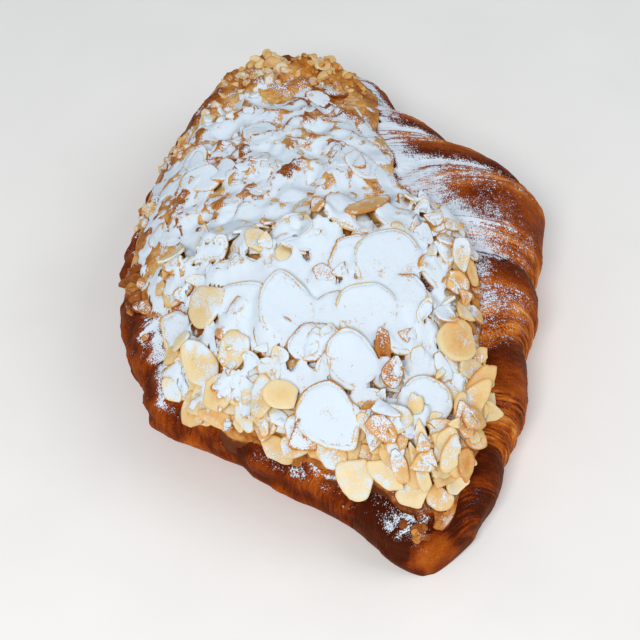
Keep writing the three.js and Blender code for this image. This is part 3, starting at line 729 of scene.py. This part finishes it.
def lay_flake(flake, grid, sink=FLAKE_SINK, thickness=FLAKE_THICKNESS, lift=0):
    """Lays a flake on a plane fitted to the heights below it, lifted by part of their unevenness."""
    along, across = oval_share(flake, grid["x"], grid["y"])
    cells = (np.hypot(along, across) < 1) & (along > -flake["broken"])
    dx, dy = grid["x"][cells] - flake["x"], grid["y"][cells] - flake["y"]
    heights = grid["z"][cells]
    plane = np.linalg.lstsq(np.stack([dx, dy, np.ones_like(dx)], -1), heights, rcond=None)[0]
    tilt = plane[:2] * min(1, STEEPEST / np.hypot(*plane[:2]))
    sloped = tilt[0] * dx + tilt[1] * dy
    uneven = np.max(heights - plane[2] - sloped)
    z = plane[2] + FLAKE_REST * uneven - sink
    grid["z"][cells] = np.maximum(heights, z + sloped + thickness)
    return {**flake, "z": z + lift * uneven, "tilt": tilt, "thickness": thickness}


def heap_flakes():
    """Every flake, laid: those of the solid, then sunk ones in the far cream and shards in the gaps."""
    draw = random_stream(LOOK_SEED)
    grid = height_grid()
    sunk = [lay_flake(flake, grid, SUNK_DEPTH) for flake in sunk_flakes(draw)]
    grid = height_grid()
    flakes = []
    for flake in drawn_flakes():
        flakes.append(lay_flake({**flake, **flake_looks(draw, *HEAP_LOOKS)}, grid))
    flakes += [lay_flake(flake, grid) for flake in extra_flakes(draw, RIM_FLAKES)]
    standouts = standout_flakes()
    for flake in standouts[:-TOP_STANDOUTS]:
        buried = flake["dust"] >= BURIED_DUST
        sink, lift = (BURIED_SINK, 0) if buried else (FLAKE_SINK, STANDOUT_LIFT)
        flakes.append(lay_flake(flake, grid, sink, lift=lift))
    flakes += [lay_flake(flake, grid) for flake in extra_flakes(draw, JUMBLE_FLAKES)]
    flakes += [lay_flake(flake, grid, lift=STANDOUT_LIFT) for flake in standouts[-TOP_STANDOUTS:]]
    shards = [lay_flake(flake, grid, SHARD_SINK, SHARD_THICKNESS) for flake in shard_flakes(draw, standouts)]
    return flakes + sunk + shards


def extra_flakes(draw, rows):
    """Flakes scattered along the cream's edges."""
    flakes = []
    for count, edge, inside, span, slimness, toasts, dustings, rises in rows:
        for _ in range(count):
            y = draw(*span)
            reach = draw(*inside)
            left, right = float(cream_left(y)), float(cream_right(y))
            x = {"left": left + reach, "right": right - reach, "across": left + reach * (right - left)}[edge]
            flake = shape_flake(draw, x, y, EXTRA_LENGTH, slimness)
            looks = flake_looks(draw, toasts, EXTRA_RIM, dustings)
            lean = {"rise": draw(*rises), "lean": draw(-EXTRA_LEAN, EXTRA_LEAN)}
            flakes.append({**flake, **looks, **lean, "chips": EXTRA_CHIPS})
    return flakes


def sunk_flakes(draw):
    """Flakes half sunk in the cream of the far part."""
    flakes = []
    for _ in range(SUNK_COUNT):
        y = draw(*SUNK_SPAN)
        x = draw(float(cream_left(y)) + SUNK_INSIDE[0], float(cream_right(y)) + SUNK_INSIDE[1])
        flake = shape_flake(draw, x, y, SUNK_LENGTH, FLAKE_SLIMNESS)
        flakes.append({**flake, **flake_looks(draw, *SUNK_LOOKS)})
    return flakes


def shard_flakes(draw, standouts):
    """Broken shards in the heap, clear of the flakes that stand out."""
    shards = []
    while len(shards) < SHARD_COUNT:
        y = draw(*HEAP_SPAN)
        left, right = max(float(cream_left(y)), HEAP_LEFT), float(cream_right(y))
        side = draw() / SHARD_EDGE_SHARE
        if side < 1:
            inside = draw(0, SHARD_EDGE)
            x = left + inside if side < SHARD_LEFT_SHARE else right - inside
        else:
            x = draw(left, right)
        shard = shape_flake(draw, x, y, SHARD_LENGTH, *SHARD_SHAPE)
        looks = flake_looks(draw, *SHARD_LOOKS)
        if all(hypot(*oval_share(flake, x, y)) > SHARD_CLEAR for flake in standouts):
            shards.append({**shard, **looks})
    return shards


def flake_outline(flake, seed, draw):
    """Outline of a flake along and across it, uneven and chipped."""
    angle = 2 * pi * np.arange(FLAKE_SIDES) / FLAKE_SIDES
    circle = stacked(np.cos(angle), np.sin(angle), 0)
    uneven = 1 + FLAKE_UNEVEN * noise_at(circle, UNEVEN_SIZE, seed)
    jag = FLAKE_JAG * noise_at(circle, JAG_SIZE, seed + 1)
    along = np.maximum(-flake["broken"] + jag, np.cos(angle) * uneven)
    across = np.sin(angle) * (1 - flake["point"] * np.cos(angle)) * uneven
    for _ in range(flake.get("chips", FLAKE_CHIPS)):
        turn = 2 * pi * draw()
        c, s = cos(turn), sin(turn)
        past = np.maximum(0, along * c + across * s - draw(*CHIP_REACH) + CHIP_JAG * jag)
        along = along - past * c
        across = across - past * s
    return along * flake["length"] / 2, across * flake["width"] / 2


def flake_points(flake, seed, draw):
    """Points of a laid flake, the share of the outline at each and how far it is on the far side."""
    along, across = flake_outline(flake, seed, draw)
    radius, height = np.array([(0, 1), *FLAKE_RINGS, (0, 0)]).T
    u = radius[:, None] * along
    v = radius[:, None] * across
    curl = FLAKE_BEND * sin(CURL_TURNS[0] * seed) * (2 * u / flake["length"]) ** 2
    curl = curl + CURL_ACROSS * FLAKE_BEND * sin(CURL_TURNS[1] * seed) * (2 * v / flake["width"]) ** 2
    ripple = FLAKE_RIPPLE * noise_at(stacked(u, v, 0), RIPPLE_SIZE, seed).reshape(u.shape)
    w = height[:, None] * flake["thickness"] + curl + ripple * radius[:, None]
    up = np.array([-flake["tilt"][0], -flake["tilt"][1], 1])
    up = up / np.linalg.norm(up)
    yaw = radians(flake["yaw"])
    heading = np.array([cos(yaw), sin(yaw), 0])
    forward = heading - up * (heading @ up)
    forward = forward / np.linalg.norm(forward)
    sideways = np.cross(up, forward)
    points = u[..., None] * forward + v[..., None] * sideways + w[..., None] * up
    rise = flake.get("rise", FLAKE_FAR_RISE + draw(-FLAKE_LEAN, FLAKE_LEAN))
    lean = flake.get("lean", draw(-FLAKE_LEAN, FLAKE_LEAN))
    points[..., 2] += rise * points[..., 1] + lean * points[..., 0]
    points = np.vstack([points[1:-1].reshape(-1, 3), points[0, :1], points[-1, :1]])
    shares = np.concatenate([np.repeat(radius[1:-1], FLAKE_SIDES), [0, 0]])
    far_side = smooth(2 * points[:, 1] / flake["length"], *FAR_SIDE)
    return points + (flake["x"], flake["y"], flake["z"]), shares, far_side


def flakes_arrays():
    """Points, faces, toast with the painted shade of far rims, and share of dusting of all flakes."""
    faces_of_one = tube_faces(len(FLAKE_RINGS), FLAKE_SIDES)
    draw = random_stream(LOOK_SEED + 2)
    points, faces, toast_and_shading, dustings = [], [], [], []
    count = 0
    for seed, flake in enumerate(heap_flakes()):
        own, shares, far_side = flake_points(flake, seed + 1, draw)
        points.append(own)
        faces += [tuple(count + i for i in face) for face in faces_of_one]
        rim = flake["rim"] * smooth(shares, *RIM_WIDTH)
        arc = far_side * smooth(shares, *ARC_WIDTH)
        core = CORE_TOAST * (1 - smooth(shares, *CORE_WIDTH))
        # far rims get toast and painted shade, more on dusted flakes
        toast_and_shading.append(flake["toast_and_shading"] + rim + core + ARC_TOAST_AND_SHADE * min(1, flake["dust"]) * arc)
        bare_rim = 1 - min(1, flake["rim"]) * smooth(shares, *RIM_BARE)
        dustings.append(flake["dust"] * bare_rim * (1 - ARC_BARE * arc))
        count += len(own)
    return np.vstack(points), faces, np.concatenate(toast_and_shading), np.concatenate(dustings)


def unit_ball(subdivisions):
    """Points and faces of a round ball of radius 1."""
    ball = bmesh.new()
    bmesh.ops.create_icosphere(ball, subdivisions=subdivisions, radius=1)
    points = np.array([vertex.co for vertex in ball.verts])
    faces = np.array([[vertex.index for vertex in face.verts] for face in ball.faces])
    ball.free()
    return points, faces


def chopped(ball, draw, seed):
    """A ball cut by planes into the shape of a chopped nut, of radius about 1."""
    points = ball * (1 + NUB_UNEVEN * noise_at(ball, NUB_UNEVEN_SIZE, seed))[:, None]
    for _ in range(NUB_CUTS):
        turn = 2 * pi * draw()
        tip = draw(-1, 1)
        flat = sqrt(1 - tip * tip)
        way = np.array([flat * cos(turn), flat * sin(turn), tip])
        past = np.maximum(0, points @ way - draw(*NUB_CUT_REACH))
        points = points - past[:, None] * way
    return points


def look_down(tree, x, y):
    """What a look straight down at a place meets first: its point, normal, face and distance."""
    return tree.ray_cast(Vector((x, y, ABOVE)), Vector((0, 0, -1)))


def nubs_arrays(tree):
    """Points, faces, toast and share of dusting of the chopped almonds, resting on what is below them."""
    draw = random_stream(LOOK_SEED + 1)
    ball, ball_faces = unit_ball(NUB_FINENESS)
    points, faces, toast_and_shading, dustings = [], [], [], []
    count = 0
    for middle, reach, number, sizes, brown, dusting in NUB_SCATTERS:
        for _ in range(number):
            x = middle[0] + reach[0] * (draw() + draw() - 1)
            y = middle[1] + reach[1] * (draw() + draw() - 1)
            radius = draw(*sizes) / 2
            own = chopped(ball, draw, count + 1) * radius * NUB_SHAPE
            turn = 2 * pi * draw()
            own = own @ np.array([[cos(turn), sin(turn), 0], [-sin(turn), cos(turn), 0], [0, 0, 1]])
            tone = brown + draw(*NUB_TONES)
            ground = look_down(tree, x, y)[0]
            if ground is None:
                continue
            points.append(own + (x, y, ground.z + radius * (NUB_SHAPE[2] - 2 * NUB_SINK)))
            faces.append(ball_faces + count)
            toast_and_shading.append(np.full(len(ball), tone))
            dustings.append(np.full(len(ball), dusting))
            count += len(ball)
    return np.vstack(points), np.vstack(faces).tolist(), np.concatenate(toast_and_shading), np.concatenate(dustings)


def store(mesh, name, values):
    """Stores a value for each point."""
    kept = mesh.attributes.get(name) or mesh.attributes.new(name, "FLOAT", "POINT")
    kept.data.foreach_set("value", values)


def make_piece(name, points, faces, toast_and_shading, material, slot, *nodes):
    """A piece of the object from points in millimetres, with its toast, which also carries painted shade and
    light, as an attribute.
    """
    mesh = bpy.data.meshes.new(name)
    mesh.from_pydata((points * MM).tolist(), [], faces)
    mesh.shade_smooth()
    store(mesh, "toast_and_shading", toast_and_shading)
    mesh.materials.append(material)
    piece = bpy.data.objects.new(name, mesh)
    bpy.context.scene.collection.objects.link(piece)
    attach(piece, "root")
    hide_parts(*nodes)
    return piece


def points_of(piece):
    """A piece's points in millimetres and its normals."""
    count = len(piece.data.vertices)
    points, normals = np.empty(count * 3, np.float32), np.empty(count * 3, np.float32)
    piece.data.vertices.foreach_get("co", points)
    piece.data.vertex_normals.foreach_get("vector", normals)
    return points.reshape(-1, 3).astype(float) / MM, normals.reshape(-1, 3).astype(float)


def joined_tree(pieces):
    """A search tree of all faces of the pieces, in millimetres."""
    points, faces = [], []
    count = 0
    for piece in pieces:
        own, _ = points_of(piece)
        points += own.tolist()
        faces += [[count + i for i in face.vertices] for face in piece.data.polygons]
        count += len(own)
    return BVHTree.FromPolygons(points, faces)


def open_and_close(tree, points, normals):
    """Share of the sugar's falling directions that are free above each point, and that a neighbour blocks,
    which sets a crevice's painted shade.
    """
    rays = [(Vector(way).normalized(), weight) for way, weight in SUGAR_RAYS]
    whole = sum(weight for _, weight in rays)
    starts = (points + RAY_OUT * normals + (0, 0, RAY_UP)).tolist()
    free, shade_from_neighbours = np.zeros(len(points)), np.zeros(len(points))
    for i in np.flatnonzero(normals[:, 2] > RAY_FACING).tolist():
        for way, weight in rays:
            distance = tree.ray_cast(starts[i], way, SUGAR_RAY_LENGTH)[3]
            if distance is None:
                free[i] += weight
            elif distance < CREVICE_DEPTH:
                shade_from_neighbours[i] += weight
    return free / whole, shade_from_neighbours / whole


def heavy_sugar(points):
    """Amount of sugar over the topping, full in the middle and fading to the edges."""
    x, y = (points[:, :2] - SUGAR_MIDDLE).T
    far = np.hypot(x / SUGAR_REACH[0], y / np.where(y < 0, SUGAR_NEAR_REACH, SUGAR_REACH[1]))
    far = far + noises(points, SUGAR_WAVES)
    return 1 - smooth(far, *SUGAR_EDGES) - SUGAR_LEFT_BARE * smooth(-points[:, 0], *SUGAR_LEFT_RIM)


def crust_sugar(points):
    """Amount of sugar over the crust, which fades away from the topping."""
    x, y, z = points.T
    bounded = np.clip(y, CREAM_NEAR, CREAM_FAR)
    away = np.maximum(0, np.where(x > 0, x - cream_right(bounded), cream_left(bounded) - x))
    near = np.exp(-away / np.where(x > 0, *CRUST_DUST_REACH))
    place = wrap_place(x, y)
    on_skin = smooth(place, *BARE_START) * (1 - smooth(place - SKIN_SHARE, *BARE_END))
    first, last = WIDE_WRAP
    wide = smooth(y, first - WIDE_FADE, first + WIDE_FADE)
    wide = wide * (1 - smooth(y, last - WIDE_FADE, last + WIDE_FADE))
    further = smooth(away, *AWAY_FROM)
    kept = (1 - SKIN_BARE * on_skin * (1 - wide) * further) * (1 + WIDE_DUST * wide * further)
    right = CRUST_DUST_RIGHT * near * smooth(y, *RIGHT_DUST_FROM) * kept
    left = CRUST_DUST_LEFT * near * (1 - (1 - TIP_DUST) * smooth(-y, *TIP_DUST_FROM))
    crease = np.exp(-np.minimum(place, 1 - place) / CREASE_WIDTH - away / CREASE_REACH)
    sugar = np.where(x > 0, right, left) + CREASE_DUST * crease * smooth(y, *CREASE_FROM)
    patchy = CRUST_EVEN + noises(points, CRUST_PATCHES)
    return sugar * patchy + CRUST_SPECKS * smooth(z, *SPECKS_ABOVE)


def dust(piece, tree, amount):
    """Stores how much of each point of a piece is covered with sugar, and paints shade into its crevices."""
    points, normals = points_of(piece)
    fall = np.array(SUGAR_FALL) / np.linalg.norm(SUGAR_FALL)
    free, shade_from_neighbours = open_and_close(tree, points, normals)
    cover = np.clip(amount, 0, 1) * smooth(normals @ fall, *SUGAR_FACING) * free
    store(piece.data, "sugar", cover)
    toast_and_shading = np.empty(len(points), np.float32)
    piece.data.attributes["toast_and_shading"].data.foreach_get("value", toast_and_shading)
    # painted shade: crevices darkened through the toast
    store(piece.data, "toast_and_shading", toast_and_shading + CREVICE_SHADE * shade_from_neighbours)


def blurred(grid, times):
    """A grid smoothed over its neighbours, a number of times."""
    for _ in range(times):
        rows = np.pad(grid, ((1, 1), (0, 0)), mode="edge")
        rows = (rows[:-2] + 2 * rows[1:-1] + rows[2:]) / 4
        both = np.pad(rows, ((0, 0), (1, 1)), mode="edge")
        grid = (both[:, :-2] + 2 * both[:, 1:-1] + both[:, 2:]) / 4
    return grid


def drifted(ground):
    """Heights of sugar that has drifted against the near side of every low edge in a grid of heights."""
    level = ground.copy()
    fall = DRIFT_SLOPE * LAYER_CELL
    for row in range(len(ground) - 2, -1, -1):
        beyond = level[row + 1]
        beside = np.maximum(np.roll(beyond, 1), np.roll(beyond, -1)) - fall
        slope = np.maximum(beyond, beside) - fall
        level[row] = np.where(slope - ground[row] < DRIFT_DEPTH, np.maximum(ground[row], slope), ground[row])
    return level + np.clip(blurred(level, DRIFT_BLURS) - level, -SOFTEST_DRIFT, SOFTEST_DRIFT)


def sugar_ground(tree, face_amounts):
    """A grid of places over the topping, with the height of what is there and the amount of sugar on it."""
    x = np.arange(*LAYER_SIDES, LAYER_CELL)
    y = np.arange(CREAM_NEAR, CREAM_FAR, LAYER_CELL)
    columns, rows = np.meshgrid(x, y)
    ground, amount = np.zeros(columns.shape), np.zeros(columns.shape)
    for place in np.ndindex(columns.shape):
        hit, _, face, _ = look_down(tree, columns[place], rows[place])
        if hit is not None:
            ground[place] = hit.z
            amount[place] = face_amounts[face]
    return columns, rows, ground, blurred(amount, 1)


def patched(amount, flat, raised):
    """An amount of sugar with patches in it, and with cracks and bare ridges in the far part."""
    shape = amount.shape
    far = smooth(flat[:, 1], *FAR_FROM).reshape(shape)
    veins = np.exp(-((noises(flat * VEIN_STRETCH, VEINS) / VEIN_WIDTH) ** 2)).reshape(shape)
    amount = amount + noises(flat, LAYER_PATCHES).reshape(shape)
    amount = amount + far * (noises(flat, FAR_PATCHES).reshape(shape) - FAR_BARE)
    return amount - far * (VEIN_BARE * veins + RIDGE_BARE * np.maximum(0, raised))


def sugar_layer_arrays(tree, face_amounts):
    """Points, faces, toast and cover of the layer of sugar on the topping."""
    columns, rows, ground, amount = sugar_ground(tree, face_amounts)
    shape = ground.shape
    flat = stacked(columns, rows, ground)
    raised = ground - blurred(ground, BASE_BLURS)
    full = smooth(patched(amount, flat, raised), *LAYER_FULL)
    powder = noises(flat, POWDER).reshape(shape)
    depth = (drifted(raised) - raised + powder) * full + LAYER_SINK + (LAYER_COAT - LAYER_SINK) * full
    points = stacked(columns, rows, ground + depth)
    corner = np.arange(ground.size).reshape(shape)
    quads = np.stack([corner[:-1, :-1], corner[:-1, 1:], corner[1:, 1:], corner[1:, :-1]], -1).reshape(-1, 4)
    shown = (depth.reshape(-1)[quads] > LAYER_LEAST).any(axis=1) & (ground.reshape(-1)[quads] > 0).all(axis=1)
    shown = shown & (np.ptp(points[:, 2][quads], axis=1) < STEEPEST_LAYER)
    used, faces = np.unique(quads[shown], return_inverse=True)
    thin = noises(flat, THIN_PLACES).reshape(shape)
    cover = (smooth(depth, *LAYER_COVER) * (LAYER_OPAQUE + thin)).reshape(-1)[used]
    return points[used], faces.reshape(-1, 4).tolist(), np.full(len(used), LAYER_TOAST), cover


def linear(red, green, blue):
    """A colour on the screen, from 0 to 255 a channel, as linear light."""
    screen = np.array([red, green, blue]) / 255
    light = np.where(screen <= 0.04045, screen / 12.92, ((screen + 0.055) / 1.055) ** 2.4)
    return (*light.tolist(), 1)


def fill_inputs(tree, node, inputs):
    """Joins a node's inputs to sockets or sets them to values."""
    for key, value in inputs.items():
        if isinstance(value, bpy.types.NodeSocket):
            tree.links.new(value, node.inputs[key])
        else:
            node.inputs[key].default_value = value


def add_node(tree, kind, inputs, **settings):
    """A new shader node with its settings and inputs."""
    made = tree.nodes.new(kind)
    for name, value in settings.items():
        setattr(made, name, value)
    fill_inputs(tree, made, inputs)
    return made


def new_material(name):
    """A new material, its nodes, its shader and the place on the object."""
    material = bpy.data.materials.new(name)
    material.use_nodes = True
    tree = material.node_tree
    place = add_node(tree, "ShaderNodeTexCoord", {}).outputs["Object"]
    return material, tree, tree.nodes["Principled BSDF"], place


def attribute(tree, name):
    """A point attribute's value."""
    return add_node(tree, "ShaderNodeAttribute", {}, attribute_name=name).outputs["Fac"]


def grain(tree, place, size, detail=2):
    """Noise with features of a size in millimetres."""
    inputs = {"Vector": place, "Scale": 1 / (size * MM), "Detail": detail}
    return add_node(tree, "ShaderNodeTexNoise", inputs).outputs["Fac"]


def maths(tree, operation, first, second):
    """The result of a sum on two values."""
    return add_node(tree, "ShaderNodeMath", {0: first, 1: second}, operation=operation).outputs[0]


def spread(tree, value, low, high, to_low, to_high):
    """A value moved from one range to another and kept inside it."""
    names = ("Value", "From Min", "From Max", "To Min", "To Max")
    inputs = dict(zip(names, (value, low, high, to_low, to_high)))
    return add_node(tree, "ShaderNodeMapRange", inputs).outputs["Result"]


def mix(tree, share, first, second):
    """A mix of two colours."""
    inputs = {0: share, 6: first, 7: second}
    return add_node(tree, "ShaderNodeMix", inputs, data_type="RGBA").outputs[2]


def ramp(tree, value, stops):
    """A colour that depends on a value, through stops of a place and a colour."""
    made = add_node(tree, "ShaderNodeValToRGB", {"Fac": value})
    elements = made.color_ramp.elements
    while len(elements) < len(stops):
        elements.new(1)
    for element, (place, colour) in zip(elements, stops):
        element.position = place
        element.color = linear(*colour)
    return made.outputs["Color"]


def sugar_mask(tree, place, more):
    """Where sugar lies: the covered share of each spot, and some more or less, broken up into grains."""
    fine = spread(tree, grain(tree, place, SUGAR_GRAIN), *MOST_OF_NOISE, 0, 1)
    clumps = spread(tree, grain(tree, place, SUGAR_CLUMP), *MOST_OF_NOISE, -CLUMPING, CLUMPING)
    cover = attribute(tree, "sugar")
    covered = maths(tree, "MULTIPLY", maths(tree, "POWER", cover, COVER_POWER), COVER_FACTOR)
    threshold = maths(tree, "ADD", maths(tree, "ADD", fine, clumps), covered)
    grains = spread(tree, maths(tree, "ADD", threshold, more), *GRAIN_EDGE, 0, 1)
    return maths(tree, "MULTIPLY", grains, spread(tree, cover, *COVER_START, 0, 1))


def sugar_patches(tree, place):
    """Patches with more or less sugar, which fade where it covers most."""
    patches = spread(tree, grain(tree, place, SUGAR_PATCH_SIZE), *MOST_OF_NOISE, -SUGAR_PATCH, SUGAR_PATCH)
    shown = spread(tree, attribute(tree, "sugar"), *PATCHY_UP_TO, 1, LEAST_PATCHY)
    return maths(tree, "MULTIPLY", patches, shown)


def layer_streaks(tree, place):
    """Fine streaks along the layers of the dough, from 0 to 1."""
    x, _, z = add_node(tree, "ShaderNodeSeparateXYZ", {0: place}).outputs
    spot = {
        0: maths(tree, "MULTIPLY", attribute(tree, "layers"), STREAKS_PER_LAYER),
        1: maths(tree, "DIVIDE", x, STREAK_LENGTH * MM),
        2: maths(tree, "DIVIDE", z, STREAK_LENGTH * MM),
    }
    vector = add_node(tree, "ShaderNodeCombineXYZ", spot).outputs[0]
    inputs = {"Vector": vector, "Scale": 1, "Detail": STREAK_DETAIL}
    streaks = add_node(tree, "ShaderNodeTexNoise", inputs).outputs["Fac"]
    return maths(tree, "MULTIPLY", spread(tree, streaks, *STREAK_NOISE, 0, 1), attribute(tree, "stripes"))


def baked_material(name, stops, mottle, specks, roughness, glow, gloss=PLAIN_GLOSS):
    """A baked surface under sugar, with mottle and specks of a size and strength in its toast."""
    material, tree, shader, place = new_material(name)
    broad = spread(tree, grain(tree, place, mottle[0], MOTTLE_DETAIL), *WIDER_NOISE, -mottle[1], mottle[1])
    heights = grain(tree, place, specks[0], SPECK_DETAIL)
    fine = spread(tree, heights, *WIDER_NOISE, -specks[1], specks[1])
    # this attribute carries the bake together with painted shade and light
    toast_and_shading = maths(tree, "ADD", attribute(tree, "toast_and_shading"), maths(tree, "ADD", broad, fine))
    if name == "crust":
        streaks = layer_streaks(tree, place)
        toast_and_shading = maths(tree, "ADD", toast_and_shading, spread(tree, streaks, 0, 1, *STREAK_TOAST))
        heights = maths(tree, "SUBTRACT", heights, streaks)
        more = spread(tree, streaks, 0, 1, *STREAK_SUGAR)
        fill_inputs(tree, shader, {"Sheen Weight": CRUST_SHEEN, "Sheen Tint": linear(*CRUST_SHEEN_TINT)})
    else:
        more = sugar_patches(tree, place)
    mask = sugar_mask(tree, place, more)
    shine = spread(tree, fine, -specks[1], specks[1], *(roughness + change for change in ROUGHNESS_SPREAD))
    heights = maths(tree, "ADD", maths(tree, "MULTIPLY", mask, SUGAR_BUMP), heights)
    bump = {"Strength": BUMP_STRENGTH, "Distance": BUMP_HEIGHT * MM, "Height": heights}
    fill_inputs(tree, shader, {
        # the sugar's blue tint is painted cool shade
        "Base Color": mix(tree, mask, ramp(tree, toast_and_shading, stops), linear(*SUGAR_COLOUR_WITH_COOL_SHADE)),
        "Roughness": maths(tree, "MAXIMUM", shine, spread(tree, mask, 0, 1, 0, SUGAR_ROUGHNESS)),
        "Normal": add_node(tree, "ShaderNodeBump", bump).outputs["Normal"],
        "Specular IOR Level": gloss,
        "Specular Tint": linear(*GLOSS_TINT),
        "Subsurface Weight": glow,
        "Subsurface Radius": GLOW_RADIUS,
        "Subsurface Scale": GLOW_DEPTH * MM,
    })
    return material


def crust_material():
    """Glossy baked crust, from golden to dark brown."""
    stops = [
        (0.0, (240, 184, 110)),
        (0.3, (208, 120, 40)),
        (0.55, (164, 76, 14)),
        (0.8, (112, 40, 7)),
        (1.0, (68, 20, 4)),
    ]
    looks = dict(mottle=(7, 0.07), specks=(0.5, 0.09), roughness=0.5, glow=0, gloss=0.03)
    return baked_material("crust", stops, **looks)


def cream_material():
    """Baked almond cream, from pale gold to brown."""
    stops = [
        (0.0, (238, 208, 152)),
        (0.35, (222, 176, 106)),
        (0.6, (190, 122, 50)),
        (0.8, (150, 80, 28)),
        (1.0, (100, 46, 16)),
    ]
    return baked_material("cream", stops, mottle=(5, 0.14), specks=(1.0, 0.14), roughness=0.6, glow=0.1)


def sugar_material():
    """Powdered sugar, with the cream's gold where it is thin."""
    stops = [(0.0, (232, 212, 182)), (1.0, (178, 138, 98))]
    looks = dict(mottle=(5, 0.2), specks=(1.0, 0.2), roughness=0.8, glow=0.15, gloss=0.1)
    return baked_material("sugar", stops, **looks)


def almond_material():
    """Blanched almond, from ivory over pale yellow to toasted brown."""
    stops = [
        (0.0, (242, 232, 204)),
        (0.3, (236, 212, 160)),
        (0.5, (232, 190, 128)),
        (0.7, (212, 146, 72)),
        (1.0, (146, 76, 28)),
    ]
    return baked_material("almond", stops, mottle=(6, 0.07), specks=(0.8, 0.05), roughness=0.5, glow=0.2)


def floor_material():
    """Plain pale floor with a barely visible grain."""
    material, tree, shader, place = new_material("floor")
    stops = [(0.3, (244, 244, 244)), (0.7, (248, 248, 248))]
    fill_inputs(tree, shader, {
        "Base Color": ramp(tree, grain(tree, place, FLOOR_GRAIN), stops),
        "Roughness": FLOOR_ROUGHNESS,
        "Emission Color": linear(*FLOOR_GLOW),
        "Emission Strength": FLOOR_GLOW_STRENGTH,
    })
    return material


def direction(azimuth, elevation):
    """A way out from the object: azimuth 0 is towards the near tip, 90 to the right."""
    a, e = radians(azimuth), radians(elevation)
    return Vector((sin(a) * cos(e), -cos(a) * cos(e), sin(e)))


def place_on_sphere(thing, azimuth, elevation, distance, target):
    """Puts a light or camera at a distance from a target, facing it."""
    way = direction(azimuth, elevation)
    thing.location = Vector(target) * MM + way * distance * MM
    thing.rotation_euler = way.to_track_quat("Z", "Y").to_euler()
    bpy.context.scene.collection.objects.link(thing)


def add_light(name, azimuth, elevation, distance, size, power, colour):
    """A soft square light."""
    data = bpy.data.lights.new(name, "AREA")
    data.size = size * MM
    data.energy = power
    data.color = colour
    place_on_sphere(bpy.data.objects.new(name, data), azimuth, elevation, distance, CAMERA_TARGET)


def add_floor():
    """A wide floor that the object lies on."""
    half = FLOOR_HALF * MM
    mesh = bpy.data.meshes.new("floor")
    corners = [(-half, -half, 0), (half, -half, 0), (half, half, 0), (-half, half, 0)]
    mesh.from_pydata(corners, [], [(0, 1, 2, 3)])
    mesh.materials.append(floor_material())
    floor = bpy.data.objects.new("floor", mesh)
    bpy.context.scene.collection.objects.link(floor)


def add_sky():
    """Even, pale light from all around."""
    world = bpy.data.worlds.new("studio")
    world.use_nodes = True
    sky = {"Color": SKY_COLOUR, "Strength": SKY_STRENGTH}
    fill_inputs(world.node_tree, world.node_tree.nodes["Background"], sky)
    bpy.context.scene.world = world


def add_camera():
    """The camera, as in the photograph."""
    data = bpy.data.cameras.new("camera")
    data.lens = CAMERA_LENS
    data.sensor_width = CAMERA_SENSOR
    camera = bpy.data.objects.new("camera", data)
    place_on_sphere(camera, CAMERA_AZIMUTH, CAMERA_ELEVATION, CAMERA_DISTANCE, CAMERA_TARGET)
    bpy.context.scene.camera = camera


def build():
    """Makes every piece and dusts it with sugar."""
    almond = almond_material()
    *arrays, layers, stripes = crust_arrays()
    crust = make_piece("crust", *arrays, crust_material(), "crust", "croissant")
    store(crust.data, "layers", layers)
    store(crust.data, "stripes", stripes)
    cream = make_piece("almond_cream", *cream_arrays(), cream_material(), "almond", "almond_topping")
    points, faces, toast_and_shading, flake_dust = flakes_arrays()
    flakes = make_piece("almond_flakes", points, faces, toast_and_shading, almond, "almond", "almond_topping")
    *nub_arrays, nub_dust = nubs_arrays(joined_tree([crust, cream, flakes]))
    nubs = make_piece("chopped_almonds", *nub_arrays, almond, "almond", "almond_topping")
    nubs.data.set_sharp_from_angle(angle=radians(NUB_EDGE_ANGLE))
    tree = joined_tree([crust, cream, flakes, nubs])
    amounts = {
        crust: crust_sugar(points_of(crust)[0]),
        cream: heavy_sugar(points_of(cream)[0]),
        flakes: heavy_sugar(points) * flake_dust,
        nubs: heavy_sugar(points_of(nubs)[0]) * nub_dust,
    }
    face_amounts = []
    for piece, amount in amounts.items():
        dust(piece, tree, amount * (CREAM_DUST if piece == cream else 1))
        layered = 0 * amount if piece == crust else amount
        face_amounts += [layered[face.vertices[0]] for face in piece.data.polygons]
    points, faces, toast_and_shading, cover = sugar_layer_arrays(tree, face_amounts)
    sugar = make_piece("powdered_sugar", points, faces, toast_and_shading, sugar_material(), "almond", "almond_topping")
    store(sugar.data, "sugar", cover)


build()
add_floor()
add_sky()
for light in LIGHTS:
    add_light(*light)
add_camera()
bpy.context.scene.view_settings.view_transform = "Standard"
